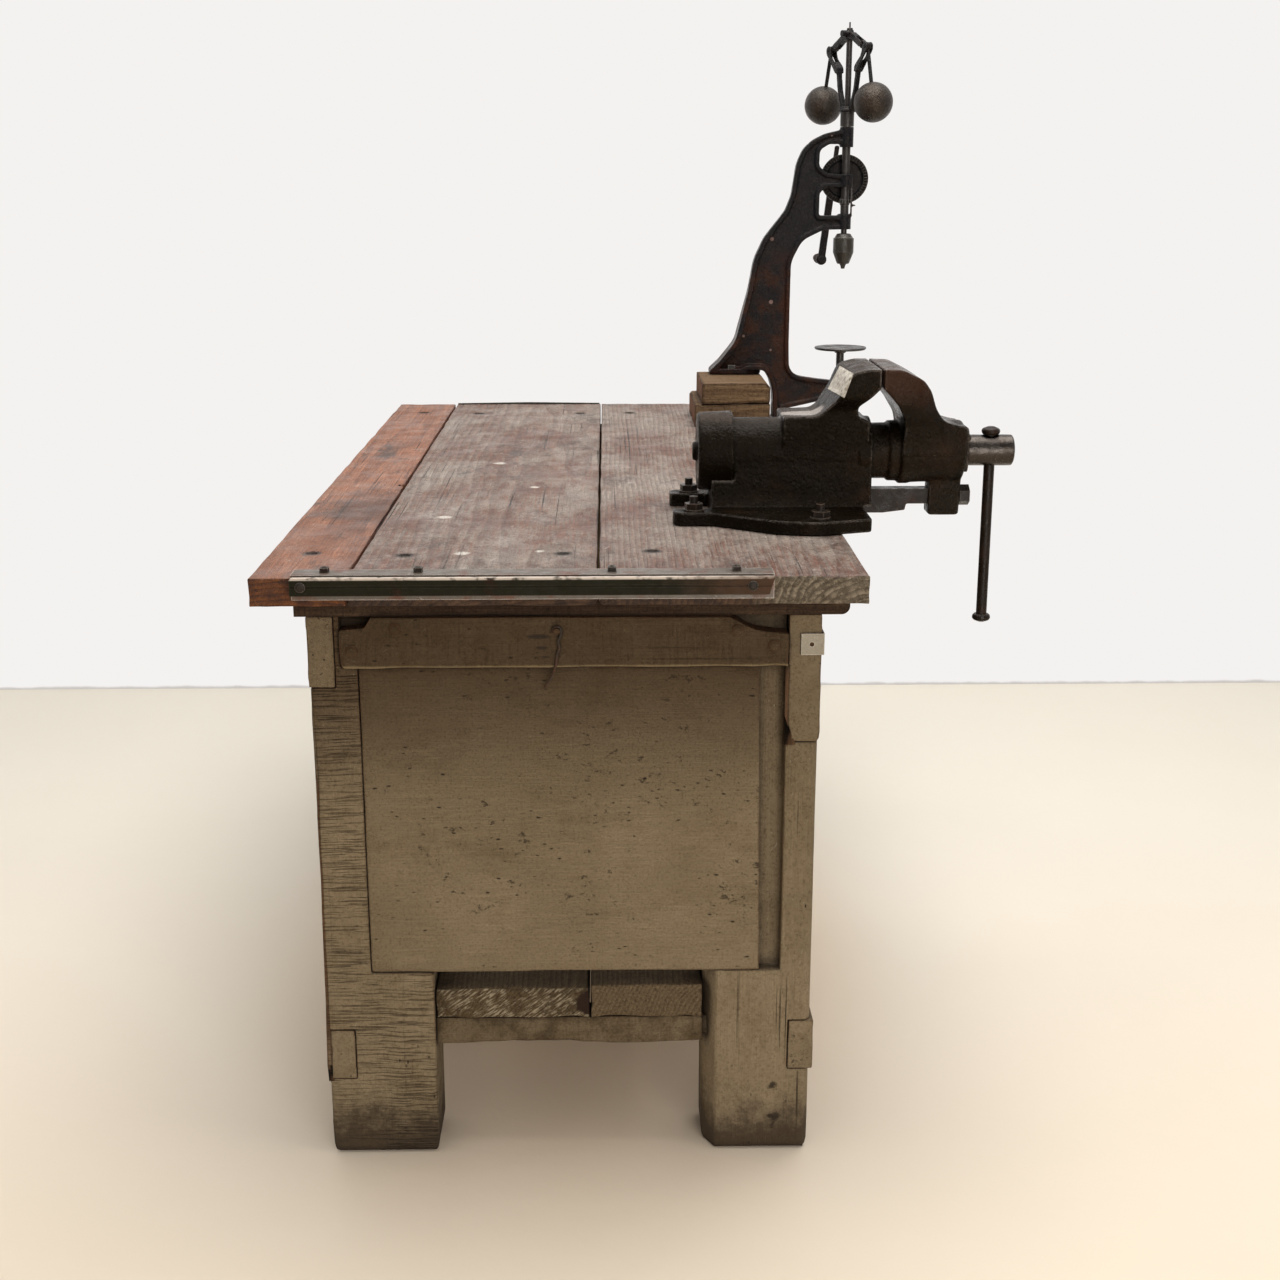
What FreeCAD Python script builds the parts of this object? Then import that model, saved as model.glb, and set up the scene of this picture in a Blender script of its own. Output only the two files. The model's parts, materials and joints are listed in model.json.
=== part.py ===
import FreeCAD, Part
import math
import os

# Old woodworking bench with a cast-iron parallel vise and a hand-cranked bench drill with a
# fly-ball feed.  Millimetres, +Z up, +Y along the bench, +X towards the vise handle.
# Everything is drawn about the floor point under the centre of the bench top, and saved about the
# floor point under the middle of the whole piece.

Vec = FreeCAD.Vector
X_AXIS = Vec(1, 0, 0)
Y_AXIS = Vec(0, 1, 0)
Z_AXIS = Vec(0, 0, 1)

# ---------------------------------------------------------------- bench top
TOP_WIDTH = 790.0
TOP_LENGTH = 1686.0
TOP_HEIGHT = 850.0
PLANK_THICK = 38.0
LEFT_PLANK_WIDTH = 124.0
LEFT_CRACK = 3.0
RIGHT_PLANK_WIDTH = 347.0
RIGHT_CRACK = 2.0
PLANK_EDGE_ROUND = 2.5
NOTCH_Y = -176.0
NOTCH_RADIUS = 9.0
BEARER_THICK = 25.0
BEARER_LEFT_INSET = 47.0
BEARER_RIGHT_INSET = 18.0
BEARER_WIDTH = 115.0
SCREW_HEAD_RADIUS = 8.0
SCREW_SHANK_RADIUS = 3.0
SCREW_HEAD_THICK = 4.0
SCREW_SINK = 2.0
OUTER_SCREWS = [(58.0, -147.0), (67.0, 138.0)]
MIDDLE_LEFT_SCREWS = [(60.0, -132.0), (60.0, 153.0)]
MIDDLE_RIGHT_SCREWS = [(-47.5, -140.0), (-44.0, 153.0)]
RIGHT_SCREWS = [(73.0, -153.0), (61.0, 149.0)]

# ---------------------------------------------------------------- bars on the near end
BAR_LEFT_INSET = 55.0
BAR_RIGHT_INSET = 123.0
ANGLE_LEG = 28.0
ANGLE_THICK = 4.5
BAR_GAP = 5.0
BAR_THICK = 7.0
BAR_HEIGHT = 23.0
BAR_RISE = 3.0
BAR_SLANT = 7.0
BAR_RIB = 3.0
BAR_RIB_DEPTH = 1.2
NUT_SIDE = 11.0
NUT_THICK = 6.0
BAR_BOLT_RADIUS = 3.0
LEFT_BAR_BOLTS = [40.5, 159.5]
RIGHT_BAR_BOLTS = [206.0, 47.0]
BAR_SCREW_INSET = 14.0
STRIP_INSET = 3.5
STRIP_THICK = 2.0
STRIP_HEIGHT = 20.0
STRIP_RISE = 4.0

# ---------------------------------------------------------------- bench base
END_INSET = 48.5
LEG_WIDTH = 150.0
LEG_DEPTH = 100.0
LEFT_LEG_INSET = 63.0
RIGHT_LEG_INSET = 55.0
INNER_CHAMFER_X = 18.0
INNER_CHAMFER_Y = 30.0
OUTER_CHAMFER = 7.0
FOOT_CHAMFER = 5.0
PANEL_LEFT_REBATE = 64.0
PANEL_RIGHT_REBATE = 70.0
PANEL_OVER_SHELF = 22.0
PANEL_THICK = 18.0
PANEL_SLANT = 8.0
RECESS_DEPTH = 20.0
RECESS_WIDTH = 106.0
APRON_LEFT_REBATE = 42.0
APRON_HEIGHT = 69.0
APRON_THICK = 27.0
APRON_CORNER = 14.0
APRON_SCALLOP_WIDTH = 78.0
APRON_SCALLOP_DROP = 24.0
APRON_BOLT_RADIUS = 4.0
LEFT_APRON_BOLTS = [(115.0, 15.0), (58.0, 45.0)]
RIGHT_APRON_BOLTS = [(40.0, 19.0), (88.0, 40.0)]
FRONT_APRON_INSET = 53.0
FRONT_APRON_THICK = 44.0
FRONT_APRON_HEIGHT = 176.0
BACK_APRON_INSET = 61.0
BACK_APRON_THICK = 36.0
BACK_APRON_HEIGHT = 97.0
STRETCHER_THICK = 36.0
STRETCHER_HEIGHT = 75.0
FRONT_STRETCHER_INSET = 50.0
FRONT_STRETCHER_Z = 127.0
BACK_STRETCHER_INSET = 65.0
BACK_STRETCHER_Z = 118.0
RAIL_TOP = 207.0
RAIL_HEIGHT = 42.0
RAIL_THICK = 46.0
RAIL_INSET = 8.0
TENON_LENGTH = 30.0
TENON_THICK = 22.0
TENON_HEIGHT = 30.0
LEFT_BOARD_THICK = 46.0
RIGHT_BOARD_THICK = 50.0
BOARD_JOINT_X = 33.0
BOARD_GAP = 5.0
LEFT_BOARD_INSET = 12.0
RIGHT_BOARD_INSET = 3.0
BOARD_INSET = 4.0
STRAP_WIDTH = 29.0
STRAP_THICK = 2.5
STRAP_DROP = 40.0
STRAP_REACH = 28.0
STRAP_BACK = 55.0
STRAP_SCREW_INSET = 12.0
HOOK_X = -6.0
HOOK_DROP = 17.0
WIRE_RADIUS = 1.8
NAIL_RADIUS = 2.0
NAIL_REACH = 9.0

# ---------------------------------------------------------------- packing blocks of the drill
BLOCK_INSET = 7.0
BLOCK_FROM_DRILL = 180.0
LOWER_BLOCK_WIDTH = 152.0
LOWER_BLOCK_LENGTH = 230.0
LOWER_BLOCK_THICK = 46.0
UPPER_BLOCK_WIDTH = 138.0
UPPER_BLOCK_LENGTH = 215.0
UPPER_BLOCK_THICK = 42.0
BLOCK_CHAMFER = 9.0

# ---------------------------------------------------------------- vise
VISE_FROM_END = 414.5
VISE_RISE = 95.0
BASE_THICK = 20.0
JAW_OUT = 58.5
JAW_OPEN = 3.5
JAW_HALF_WIDTH = 80.0
JAW_RISE = 128.0
JAW_FACE_DEEP = 28.0
BARREL_RADIUS = 50.0
BARREL_LENGTH = 244.0
BARREL_OUT = -4.5
FRONT_RING = 19.0
FRONT_RING_RISE = 1.5
BODY_LENGTH = 236.0
BODY_HALF_WIDTH = 49.0
CAP_LENGTH = 52.0
CAP_RADIUS = 59.5
CAP_FLOOR = 11.0
CAP_BOSS_RADIUS = 15.0
CAP_BOSS_LENGTH = 7.0
RAM_RADIUS = 41.5
RAM_CLEARANCE = 0.06
RAM_WALL = 10.0
RAM_CLOSED_GAP = 27.5
SEAT_GAP = 0.3
NECK_LENGTH = 137.0
NECK_HALF_WIDTH = 53.0
BOSS_RADIUS = 48.0
BOSS_BACK = 35.0
BOSS_LENGTH = 96.0
COLLAR_RADIUS = 45.0
COLLAR_LENGTH = 16.0
NUT_SLEEVE_RADIUS = 24.0
NUT_LENGTH = 231.0
NUT_THREAD_LENGTH = 55.0
SCREW_RADIUS = 13.0
SCREW_CLEARANCE = 0.06
SCREW_TAIL = 338.0
SCREW_COLLAR_RADIUS = 19.0
SCREW_COLLAR_LENGTH = 7.0
SCREW_WALL = 22.0
RETAINER_THICK = 6.0
RETAINER_HALF = 30.0
RETAINER_SCREW_OUT = 22.0
RETAINER_SCREW_DEEP = 12.0
HEAD_RADIUS = 23.0
HEAD_LENGTH = 70.0
HANDLE_OUT = 37.0
HANDLE_RADIUS = 8.0
HANDLE_CLEARANCE = 0.4
HANDLE_LENGTH = 299.0
KNOB_RADIUS = 14.0
KNOB_HEIGHT = 12.0
GUIDE_HALF_WIDTH = 12.0
GUIDE_DROP = 56.0
GUIDE_DEEP = 36.0
GUIDE_SLIM = 22.5
GUIDE_SLIM_LENGTH = 32.0
GUIDE_TAIL = 277.0
GUIDE_SHANK_RADIUS = 9.0
LUG_LENGTH = 48.0
LUG_DROP = 95.0
LUG_HALF_WIDTH = 18.0
GUIDE_NUT_FLATS = 27.0
GUIDE_NUT_LENGTH = 15.0
VISE_BOLT_RADIUS = 6.0
VISE_NUT_FLATS = 24.0
VISE_NUT_THICK = 11.0
VISE_BOLT_RISE = 10.0
REAR_BOLT_BACK = 267.5
REAR_BOLT_OUT = 77.0
FRONT_BOLT_BACK = 90.5
FRONT_BOLT_OUT = 140.0

# ---------------------------------------------------------------- bench drill
DRILL_OUT = 154.0
DRILL_FROM_END = 188.0
WEB_HALF = 7.0
RIM_HALF = 11.0
RIM_WIDTH = 9.0
FOOT_HALF_WIDTH = 30.0
FOOT_THICK = 12.0
FOOT_BACK = 274.0
FOOT_LENGTH = 77.0
FOOT_BOLT_BACK = 229.0
FOOT_BOLT_OUT = 19.5
PAD_THICK = 29.7
PAD_SCREW_OUT = 20.0
PAD_DROP = 4.0
PAD_HEIGHT = 56.0
LAG_RADIUS = 4.5
LAG_HEAD = 15.0
LAG_DEEP = 40.0
BEARING_RADIUS = 14.0
TOP_BEARING_RISE = 455.0
TOP_BEARING_LENGTH = 40.0
MIDDLE_BEARING_RISE = 377.0
MIDDLE_BEARING_LENGTH = 26.0
LOWER_BEARING_RISE = 293.0
LOWER_BEARING_LENGTH = 31.0
SLEEVE_RADIUS = 8.5
SLEEVE_CLEARANCE = 0.06
SPINDLE_RADIUS = 6.0
SPINDLE_CLEARANCE = 0.06
THRUST_HUB_RADIUS = 13.8
THRUST_HUB_LENGTH = 28.0
GUARD_OUT = 12.0
GUARD_WIDTH = 5.0
GUARD_THICK = 2.5
GEAR_RISE = 393.0
GEAR_TEETH = 48
PINION_TEETH = 12
TOOTH_MODULE = 2.0
GEAR_FACE = 8.0
TOOTH_SHARE = 0.36
TOOTH_TIP = 0.72
TOOTH_ROOT = 1.5
STUD_RADIUS = 6.0
STUD_CLEARANCE = 0.05
GEAR_HUB_RADIUS = 13.0
GEAR_WEB_Y = 17.0
GEAR_HUB_Y = 50.0
CRANK_TUBE_RADIUS = 10.0
CRANK_Y = 200.0
CRANK_REACH_X = -20.0
CRANK_REACH_Z = -170.5
CRANK_TAIL = 0.4
CRANK_TAIL_HALF_WIDTH = 5.0
CRANK_THICK = 8.0
CRANK_HALF_WIDTH = 8.0
CRANK_PIN_RADIUS = 4.0
CRANK_HANDLE_LENGTH = 85.0
CRANK_HANDLE_RADIUS = 11.0
GOVERNOR_TURN = -67.0
FORK_R = 70.0
FORK_RISE = 122.0
BALL_OUT = 28.0
BALL_DROP = 106.0
BALL_RADIUS = 38.5
BALL_ROD_RADIUS = 4.0
LEVER_HALF = 4.0
EAR_IN = -18.0
EAR_UP = 5.0
EAR_RADIUS = 8.0
SLOT_RADIUS = 3.6
STEM_HALF = 4.8
FORK_HALF = 8.0
FORK_GAP = 0.3
ARM_PIN_RADIUS = 3.0
CROSSHEAD_RISE = 147.0
CROSSHEAD_RADIUS = 8.0
CROSSHEAD_HALF_HEIGHT = 10.0
CROSSHEAD_FORK_HALF = 6.5
CROSSHEAD_PIN_RADIUS = 2.0
TIP_RADIUS = 1.6
TIP_LENGTH = 11.0
CHUCK_DROP = 8.0
CHUCK_CAP_LENGTH = 8.5
CHUCK_RADIUS = 21.0
CHUCK_CORE_RADIUS = 9.0
CHUCK_LENGTH = 61.0
CHUCK_WAIST_DROP = 38.0
NOSE_RADIUS = 13.0
CHUCK_JAW_RADIUS = 8.7
CHUCK_TIP_RADIUS = 5.0
CHUCK_TIP_LENGTH = 10.0
TABLE_RISE = 54.0
TABLE_RADIUS = 54.0
TABLE_THICK = 6.0
TABLE_HUB_RADIUS = 11.0
TABLE_HUB_HEIGHT = 6.0
STEM_RADIUS = 8.0
STEM_LENGTH = 166.0
TABLE_BOSS_DROP = 59.0
TABLE_BOSS_LENGTH = 47.0
TABLE_BOSS_RADIUS = 17.0
CLAMP_SCREW_RADIUS = 4.0
CLAMP_SCREW_OUT = 14.0

# Sizes that follow from the driving ones
HALF_WIDTH = TOP_WIDTH / 2
HALF_LENGTH = TOP_LENGTH / 2
PLANK_BOTTOM = TOP_HEIGHT - PLANK_THICK
BASE_TOP = PLANK_BOTTOM - BEARER_THICK
END_Y = HALF_LENGTH - END_INSET
LEFT_CRACK_AT = -HALF_WIDTH + LEFT_PLANK_WIDTH
RIGHT_CRACK_AT = HALF_WIDTH - RIGHT_PLANK_WIDTH
BAR_LEFT = -HALF_WIDTH + BAR_LEFT_INSET
BAR_RIGHT = HALF_WIDTH - BAR_RIGHT_INSET
BAR_BOLTS_X = [BAR_LEFT + place for place in LEFT_BAR_BOLTS] + [BAR_RIGHT
                                                                - place for place in RIGHT_BAR_BOLTS]
LEFT_LEG_X = -HALF_WIDTH + LEFT_LEG_INSET
RIGHT_LEG_X = HALF_WIDTH - RIGHT_LEG_INSET - LEG_WIDTH
PANEL_LEFT = LEFT_LEG_X + PANEL_LEFT_REBATE
PANEL_RIGHT = RIGHT_LEG_X + PANEL_RIGHT_REBATE
PANEL_TOP = BASE_TOP - APRON_HEIGHT
PANEL_BOTTOM = RAIL_TOP + RIGHT_BOARD_THICK + PANEL_OVER_SHELF
APRON_LEFT = LEFT_LEG_X + APRON_LEFT_REBATE
FRONT_APRON_X = HALF_WIDTH - FRONT_APRON_INSET - FRONT_APRON_THICK
FRONT_APRON_BOTTOM = BASE_TOP - FRONT_APRON_HEIGHT
BACK_APRON_X = -HALF_WIDTH + BACK_APRON_INSET
BACK_APRON_BOTTOM = BASE_TOP - BACK_APRON_HEIGHT
FRONT_STRETCHER_X = HALF_WIDTH - FRONT_STRETCHER_INSET - STRETCHER_THICK
BACK_STRETCHER_X = -HALF_WIDTH + BACK_STRETCHER_INSET
RAIL_BOTTOM = RAIL_TOP - RAIL_HEIGHT
APRON_BOLTS = [(LEFT_LEG_X + x, BASE_TOP - drop) for x, drop in LEFT_APRON_BOLTS]
APRON_BOLTS += [(RIGHT_LEG_X + x, BASE_TOP - drop) for x, drop in RIGHT_APRON_BOLTS]
STRAP_Z = BASE_TOP - STRAP_DROP
HOOK_Z = BASE_TOP - HOOK_DROP
BLOCK_TOP = TOP_HEIGHT + LOWER_BLOCK_THICK + UPPER_BLOCK_THICK
BLOCK_RIGHT = HALF_WIDTH - BLOCK_INSET

VISE_Y = -HALF_LENGTH + VISE_FROM_END
JAW_FACE_X = HALF_WIDTH + JAW_OUT
MOVING_FACE_X = JAW_FACE_X + JAW_OPEN
VISE_AXIS_Z = TOP_HEIGHT + VISE_RISE
JAW_TOP = VISE_AXIS_Z + JAW_RISE
BARREL_FRONT = JAW_FACE_X + BARREL_OUT
BARREL_REAR = BARREL_FRONT - BARREL_LENGTH
BODY_REAR = BARREL_FRONT - BODY_LENGTH
CAP_REAR = BARREL_REAR - CAP_FLOOR
CAP_FRONT = CAP_REAR + CAP_LENGTH
NECK_REAR = JAW_FACE_X - NECK_LENGTH
RAM_REAR = BARREL_REAR + RAM_CLOSED_GAP + JAW_OPEN
BOSS_REAR = JAW_FACE_X + JAW_OPEN + BOSS_BACK
BOSS_FRONT = BOSS_REAR + BOSS_LENGTH
NUT_FRONT = BARREL_REAR + NUT_LENGTH
SCREW_REAR = BOSS_FRONT - SCREW_TAIL
GUIDE_TOP = VISE_AXIS_Z - GUIDE_DROP
GUIDE_BOTTOM = GUIDE_TOP - GUIDE_DEEP
LUG_REAR = BOSS_FRONT - LUG_LENGTH - 1
GUIDE_STEP_X = LUG_REAR - GUIDE_SLIM_LENGTH
GUIDE_REAR = LUG_REAR - GUIDE_TAIL
VISE_BOLTS = [(JAW_FACE_X - back, side * out) for back, out in
              ((REAR_BOLT_BACK, REAR_BOLT_OUT), (FRONT_BOLT_BACK, FRONT_BOLT_OUT)) for side in (-1, 1)]
DRILL_X = HALF_WIDTH + DRILL_OUT
DRILL_Y = HALF_LENGTH - DRILL_FROM_END
BLOCK_NEAR = DRILL_Y - BLOCK_FROM_DRILL
FOOT_LEFT = DRILL_X - FOOT_BACK
FOOT_RIGHT = FOOT_LEFT + FOOT_LENGTH
FOOT_BOLT_X = DRILL_X - FOOT_BOLT_BACK
PAD_BACK = HALF_WIDTH + SEAT_GAP
PAD_X = PAD_BACK + PAD_THICK
PAD_TOP = TOP_HEIGHT - PAD_DROP
PAD_BOTTOM = PAD_TOP - PAD_HEIGHT
TOP_BEARING = (BLOCK_TOP + TOP_BEARING_RISE, BLOCK_TOP + TOP_BEARING_RISE + TOP_BEARING_LENGTH)
MIDDLE_BEARING = (BLOCK_TOP + MIDDLE_BEARING_RISE, BLOCK_TOP + MIDDLE_BEARING_RISE + MIDDLE_BEARING_LENGTH)
LOWER_BEARING = (BLOCK_TOP + LOWER_BEARING_RISE, BLOCK_TOP + LOWER_BEARING_RISE + LOWER_BEARING_LENGTH)
TABLE_BOSS = (BLOCK_TOP - TABLE_BOSS_DROP, BLOCK_TOP - TABLE_BOSS_DROP + TABLE_BOSS_LENGTH)
THRUST_HUB_TOP = TOP_BEARING[1] + THRUST_HUB_LENGTH
GEAR_Z = BLOCK_TOP + GEAR_RISE
FORK_Z = THRUST_HUB_TOP + FORK_RISE
BALL_R = FORK_R + BALL_OUT
BALL_Z = FORK_Z - BALL_DROP
CROSSHEAD_Z = THRUST_HUB_TOP + CROSSHEAD_RISE
CHUCK_TOP = LOWER_BEARING[0] - CHUCK_DROP
CHUCK_SHOULDER = CHUCK_TOP - CHUCK_CAP_LENGTH
CHUCK_WAIST = CHUCK_TOP - CHUCK_WAIST_DROP
NOSE_Z = CHUCK_TOP - CHUCK_LENGTH
JAW_TIP_Z = NOSE_Z - CHUCK_TIP_LENGTH
TABLE_TOP = BLOCK_TOP + TABLE_RISE
STEM_BOTTOM = TABLE_TOP - STEM_LENGTH
CRANK_FAR = CRANK_Y + CRANK_THICK
GEAR_PITCH = GEAR_TEETH * TOOTH_MODULE / 2
PINION_PITCH = PINION_TEETH * TOOTH_MODULE / 2
HEAD_REAR = BOSS_FRONT + RETAINER_THICK + SEAT_GAP
HANDLE_X = HEAD_REAR + HANDLE_OUT
KNOB_SEAT = VISE_AXIS_Z + HEAD_RADIUS
MIDDLE_X = (HEAD_REAR + HEAD_LENGTH - HALF_WIDTH) / 2
BAR_FRONT = HALF_LENGTH + ANGLE_THICK + BAR_GAP + BAR_THICK
MIDDLE_Y = (DRILL_Y + CRANK_FAR + CRANK_HANDLE_LENGTH - BAR_FRONT) / 2


# ---------------------------------------------------------------- shape helpers
def box(x0, x1, y0, y1, z0, z1):
    """Block between two corners."""
    return Part.makeBox(x1 - x0, y1 - y0, z1 - z0, Vec(x0, y0, z0))


def rod(start, direction, radius, length):
    """Cylinder from a point along a direction."""
    return Part.makeCylinder(radius, length, start, direction)


def on_xz(a, b):
    return Vec(a, 0, b)


def on_xy(a, b):
    return Vec(a, b, 0)


def on_yz(a, b):
    return Vec(0, a, b)


def on_vise_side(a, b):
    """Side view of the vise, measured from the fixed jaw's face and the screw's axis."""
    return Vec(JAW_FACE_X + a, 0, VISE_AXIS_Z + b)


def on_moving_side(a, b):
    """The same for the moving jaw, measured from its own face."""
    return Vec(MOVING_FACE_X + a, 0, VISE_AXIS_Z + b)


def on_fork_side(a, b):
    """In the plane of one fly-ball, measured from the pivot of its lever."""
    return Vec(FORK_R + a, 0, FORK_Z + b)


def on_drill_side(a, b):
    """Side view of the drill, measured from the spindle axis and the top of the packing blocks."""
    return Vec(DRILL_X + a, 0, BLOCK_TOP + b)


def outline(corners, place):
    """Flat face through corners (a, b) or (a, b, radius); a radius rounds that corner with an arc."""
    points = [place(corner[0], corner[1]) for corner in corners]
    radii = [corner[2] if len(corner) > 2 else 0.0 for corner in corners]
    count = len(points)
    spans = []
    for i in range(count):
        here = points[i]
        back = points[i - 1] - here
        ahead = points[(i + 1) % count] - here
        turn = back.getAngle(ahead)
        if radii[i] == 0.0 or turn > math.radians(179.5):
            spans.append((here, here, here))
            continue
        room = 0.49 * min(back.Length, ahead.Length)
        setback = min(radii[i] / math.tan(turn / 2), room)
        radius = setback * math.tan(turn / 2)
        back.normalize()
        ahead.normalize()
        middle = back + ahead
        middle.normalize()
        to_arc = radius / math.sin(turn / 2) - radius
        spans.append((here + back * setback, here + middle * to_arc, here + ahead * setback))
    edges = []
    for i in range(count):
        first, top, last = spans[i]
        following = spans[(i + 1) % count][0]
        if (last - first).Length > 1e-6:
            edges.append(Part.Arc(first, top, last).toShape())
        if (following - last).Length > 1e-6:
            edges.append(Part.LineSegment(last, following).toShape())
    return Part.Face(Part.Wire(edges))


def plate_xz(corners, y0, y1, place=on_xz):
    face = outline(corners, place)
    face.translate(Vec(0, y0, 0))
    return face.extrude(Vec(0, y1 - y0, 0))


def plate_xy(corners, z0, z1):
    face = outline(corners, on_xy)
    face.translate(Vec(0, 0, z0))
    return face.extrude(Vec(0, 0, z1 - z0))


def plate_yz(corners, x0, x1):
    face = outline(corners, on_yz)
    face.translate(Vec(x0, 0, 0))
    return face.extrude(Vec(x1 - x0, 0, 0))


def turned(profile, origin, direction):
    """Solid of revolution; profile corners are (distance along the axis, radius[, rounding])."""
    face = outline([(corner[1], corner[0]) + tuple(corner[2:]) for corner in profile], on_xz)
    solid = face.revolve(Vec(0, 0, 0), Z_AXIS, 360)
    solid.Placement = FreeCAD.Placement(origin, FreeCAD.Rotation(Z_AXIS, direction))
    return solid


def prism(centre, direction, flats, length, sides, turn=0.0):
    """Nut or bolt head: a regular prism measured across its flats."""
    reach = flats / 2 / math.cos(math.pi / sides)
    corners = []
    for i in range(sides + 1):
        angle = math.radians(turn + (i + 0.5) * 360.0 / sides)
        corners.append(Vec(reach * math.cos(angle), reach * math.sin(angle), 0))
    solid = Part.Face(Part.makePolygon(corners)).extrude(Vec(0, 0, length))
    solid.Placement = FreeCAD.Placement(centre, FreeCAD.Rotation(Z_AXIS, direction))
    return solid


def fused(first, *others):
    return first.multiFuse(list(others)).removeSplitter()


def mirrored_y(shape):
    """The same shape at the other end of the bench."""
    return shape.mirror(Vec(0, 0, 0), Y_AXIS)


def save(name, shape):
    moved = shape.copy()
    moved.translate(Vec(-MIDDLE_X, -MIDDLE_Y, 0))
    moved.exportStep("parts/" + name + ".step")


# ---------------------------------------------------------------- bench top
def plank(x0, x1):
    board = box(x0, x1, -HALF_LENGTH, HALF_LENGTH, PLANK_BOTTOM, TOP_HEIGHT)
    long_edges = [e for e in board.Edges
                  if abs(e.tangentAt(0).y) > 0.9 and e.CenterOfMass.z > PLANK_BOTTOM + 1]
    return board.makeFillet(PLANK_EDGE_ROUND, long_edges)


def screw_hole(x, y):
    """Pilot for the shank with a wide counterbore for the sunk head."""
    head_bottom = TOP_HEIGHT - SCREW_SINK - SCREW_HEAD_THICK
    shank = rod(Vec(x, y, BASE_TOP), Z_AXIS, SCREW_SHANK_RADIUS, TOP_HEIGHT - BASE_TOP)
    return shank.fuse(rod(Vec(x, y, head_bottom), Z_AXIS, SCREW_HEAD_RADIUS,
                          SCREW_SINK + SCREW_HEAD_THICK + 1))


def plank_screw(x, y):
    head_bottom = TOP_HEIGHT - SCREW_SINK - SCREW_HEAD_THICK
    shank = rod(Vec(x, y, BASE_TOP), Z_AXIS, SCREW_SHANK_RADIUS, head_bottom - BASE_TOP)
    head = rod(Vec(x, y, head_bottom), Z_AXIS, SCREW_HEAD_RADIUS, SCREW_HEAD_THICK)
    slot = box(x - SCREW_HEAD_RADIUS, x + SCREW_HEAD_RADIUS, y - 1, y + 1,
               TOP_HEIGHT - SCREW_SINK - 1.5, TOP_HEIGHT)
    return fused(shank, head).cut(slot)


def vise_bolt_hole(x, y):
    return rod(Vec(x, VISE_Y + y, BASE_TOP - 20), Z_AXIS, VISE_BOLT_RADIUS + 0.5, 200)


def bar_bolt_hole(x):
    return rod(Vec(x, angle_bolt_y(), PLANK_BOTTOM - 1), Z_AXIS, BAR_BOLT_RADIUS, PLANK_THICK + 20)


def angle_bolt_y():
    return -HALF_LENGTH + ANGLE_LEG / 2


def plank_screw_places():
    """Screw rows near both ends; a negative distance is counted from the near end."""
    places = []
    for edge, screws in ((-HALF_WIDTH, OUTER_SCREWS), (LEFT_CRACK_AT, MIDDLE_LEFT_SCREWS),
                         (RIGHT_CRACK_AT, MIDDLE_RIGHT_SCREWS), (RIGHT_CRACK_AT, RIGHT_SCREWS)):
        for x, inset in screws:
            end = -HALF_LENGTH if inset < 0 else HALF_LENGTH
            places.append((edge + x, end - inset))
    return places


def make_top():
    cuts = [screw_hole(x, y) for x, y in plank_screw_places()]
    cuts += [vise_bolt_hole(x, y) for x, y in VISE_BOLTS]
    cuts += [bar_bolt_hole(x) for x in BAR_BOLTS_X]
    cuts += [bar_screw_path(x) for x in bar_screw_places()]
    tool = cuts[0].multiFuse(cuts[1:])
    notch = rod(Vec(LEFT_CRACK_AT - LEFT_CRACK / 2, NOTCH_Y, PLANK_BOTTOM - 1), Z_AXIS, NOTCH_RADIUS,
                PLANK_THICK + 2)
    left = plank(-HALF_WIDTH, LEFT_CRACK_AT - LEFT_CRACK / 2).cut(tool).cut(notch)
    middle = plank(LEFT_CRACK_AT + LEFT_CRACK / 2, RIGHT_CRACK_AT - RIGHT_CRACK / 2).cut(tool)
    right = plank(RIGHT_CRACK_AT + RIGHT_CRACK / 2, HALF_WIDTH).cut(tool)
    for shank in pad_screw_shanks():
        right = right.cut(shank)
    save("top_plank_left", left)
    save("top_plank_middle", middle)
    save("top_plank_right", right)
    bearer_left = -HALF_WIDTH + BEARER_LEFT_INSET
    bearer_right = HALF_WIDTH - BEARER_RIGHT_INSET
    bearer = plate_xz([(bearer_left, BASE_TOP), (bearer_right, BASE_TOP, 11), (bearer_right, PLANK_BOTTOM, 6),
                       (bearer_left, PLANK_BOTTOM)], -END_Y, -END_Y + BEARER_WIDTH)
    save("bearer_near", bearer.cut(tool))
    save("bearer_far", mirrored_y(bearer).cut(tool))
    save("plank_screws", Part.makeCompound([plank_screw(x, y) for x, y in plank_screw_places()]))


# ---------------------------------------------------------------- bars on the near end
def bar_screw_places():
    return [BAR_LEFT + BAR_SCREW_INSET, BAR_RIGHT - 2 * BAR_SCREW_INSET]


def bar_screw_path(x):
    return rod(Vec(x, -HALF_LENGTH - 60, bar_middle()), Y_AXIS, BAR_BOLT_RADIUS, 100)


def bar_middle():
    return TOP_HEIGHT + BAR_RISE - BAR_HEIGHT / 2


def bar_front():
    return -HALF_LENGTH - ANGLE_THICK - BAR_GAP - BAR_THICK


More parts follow.
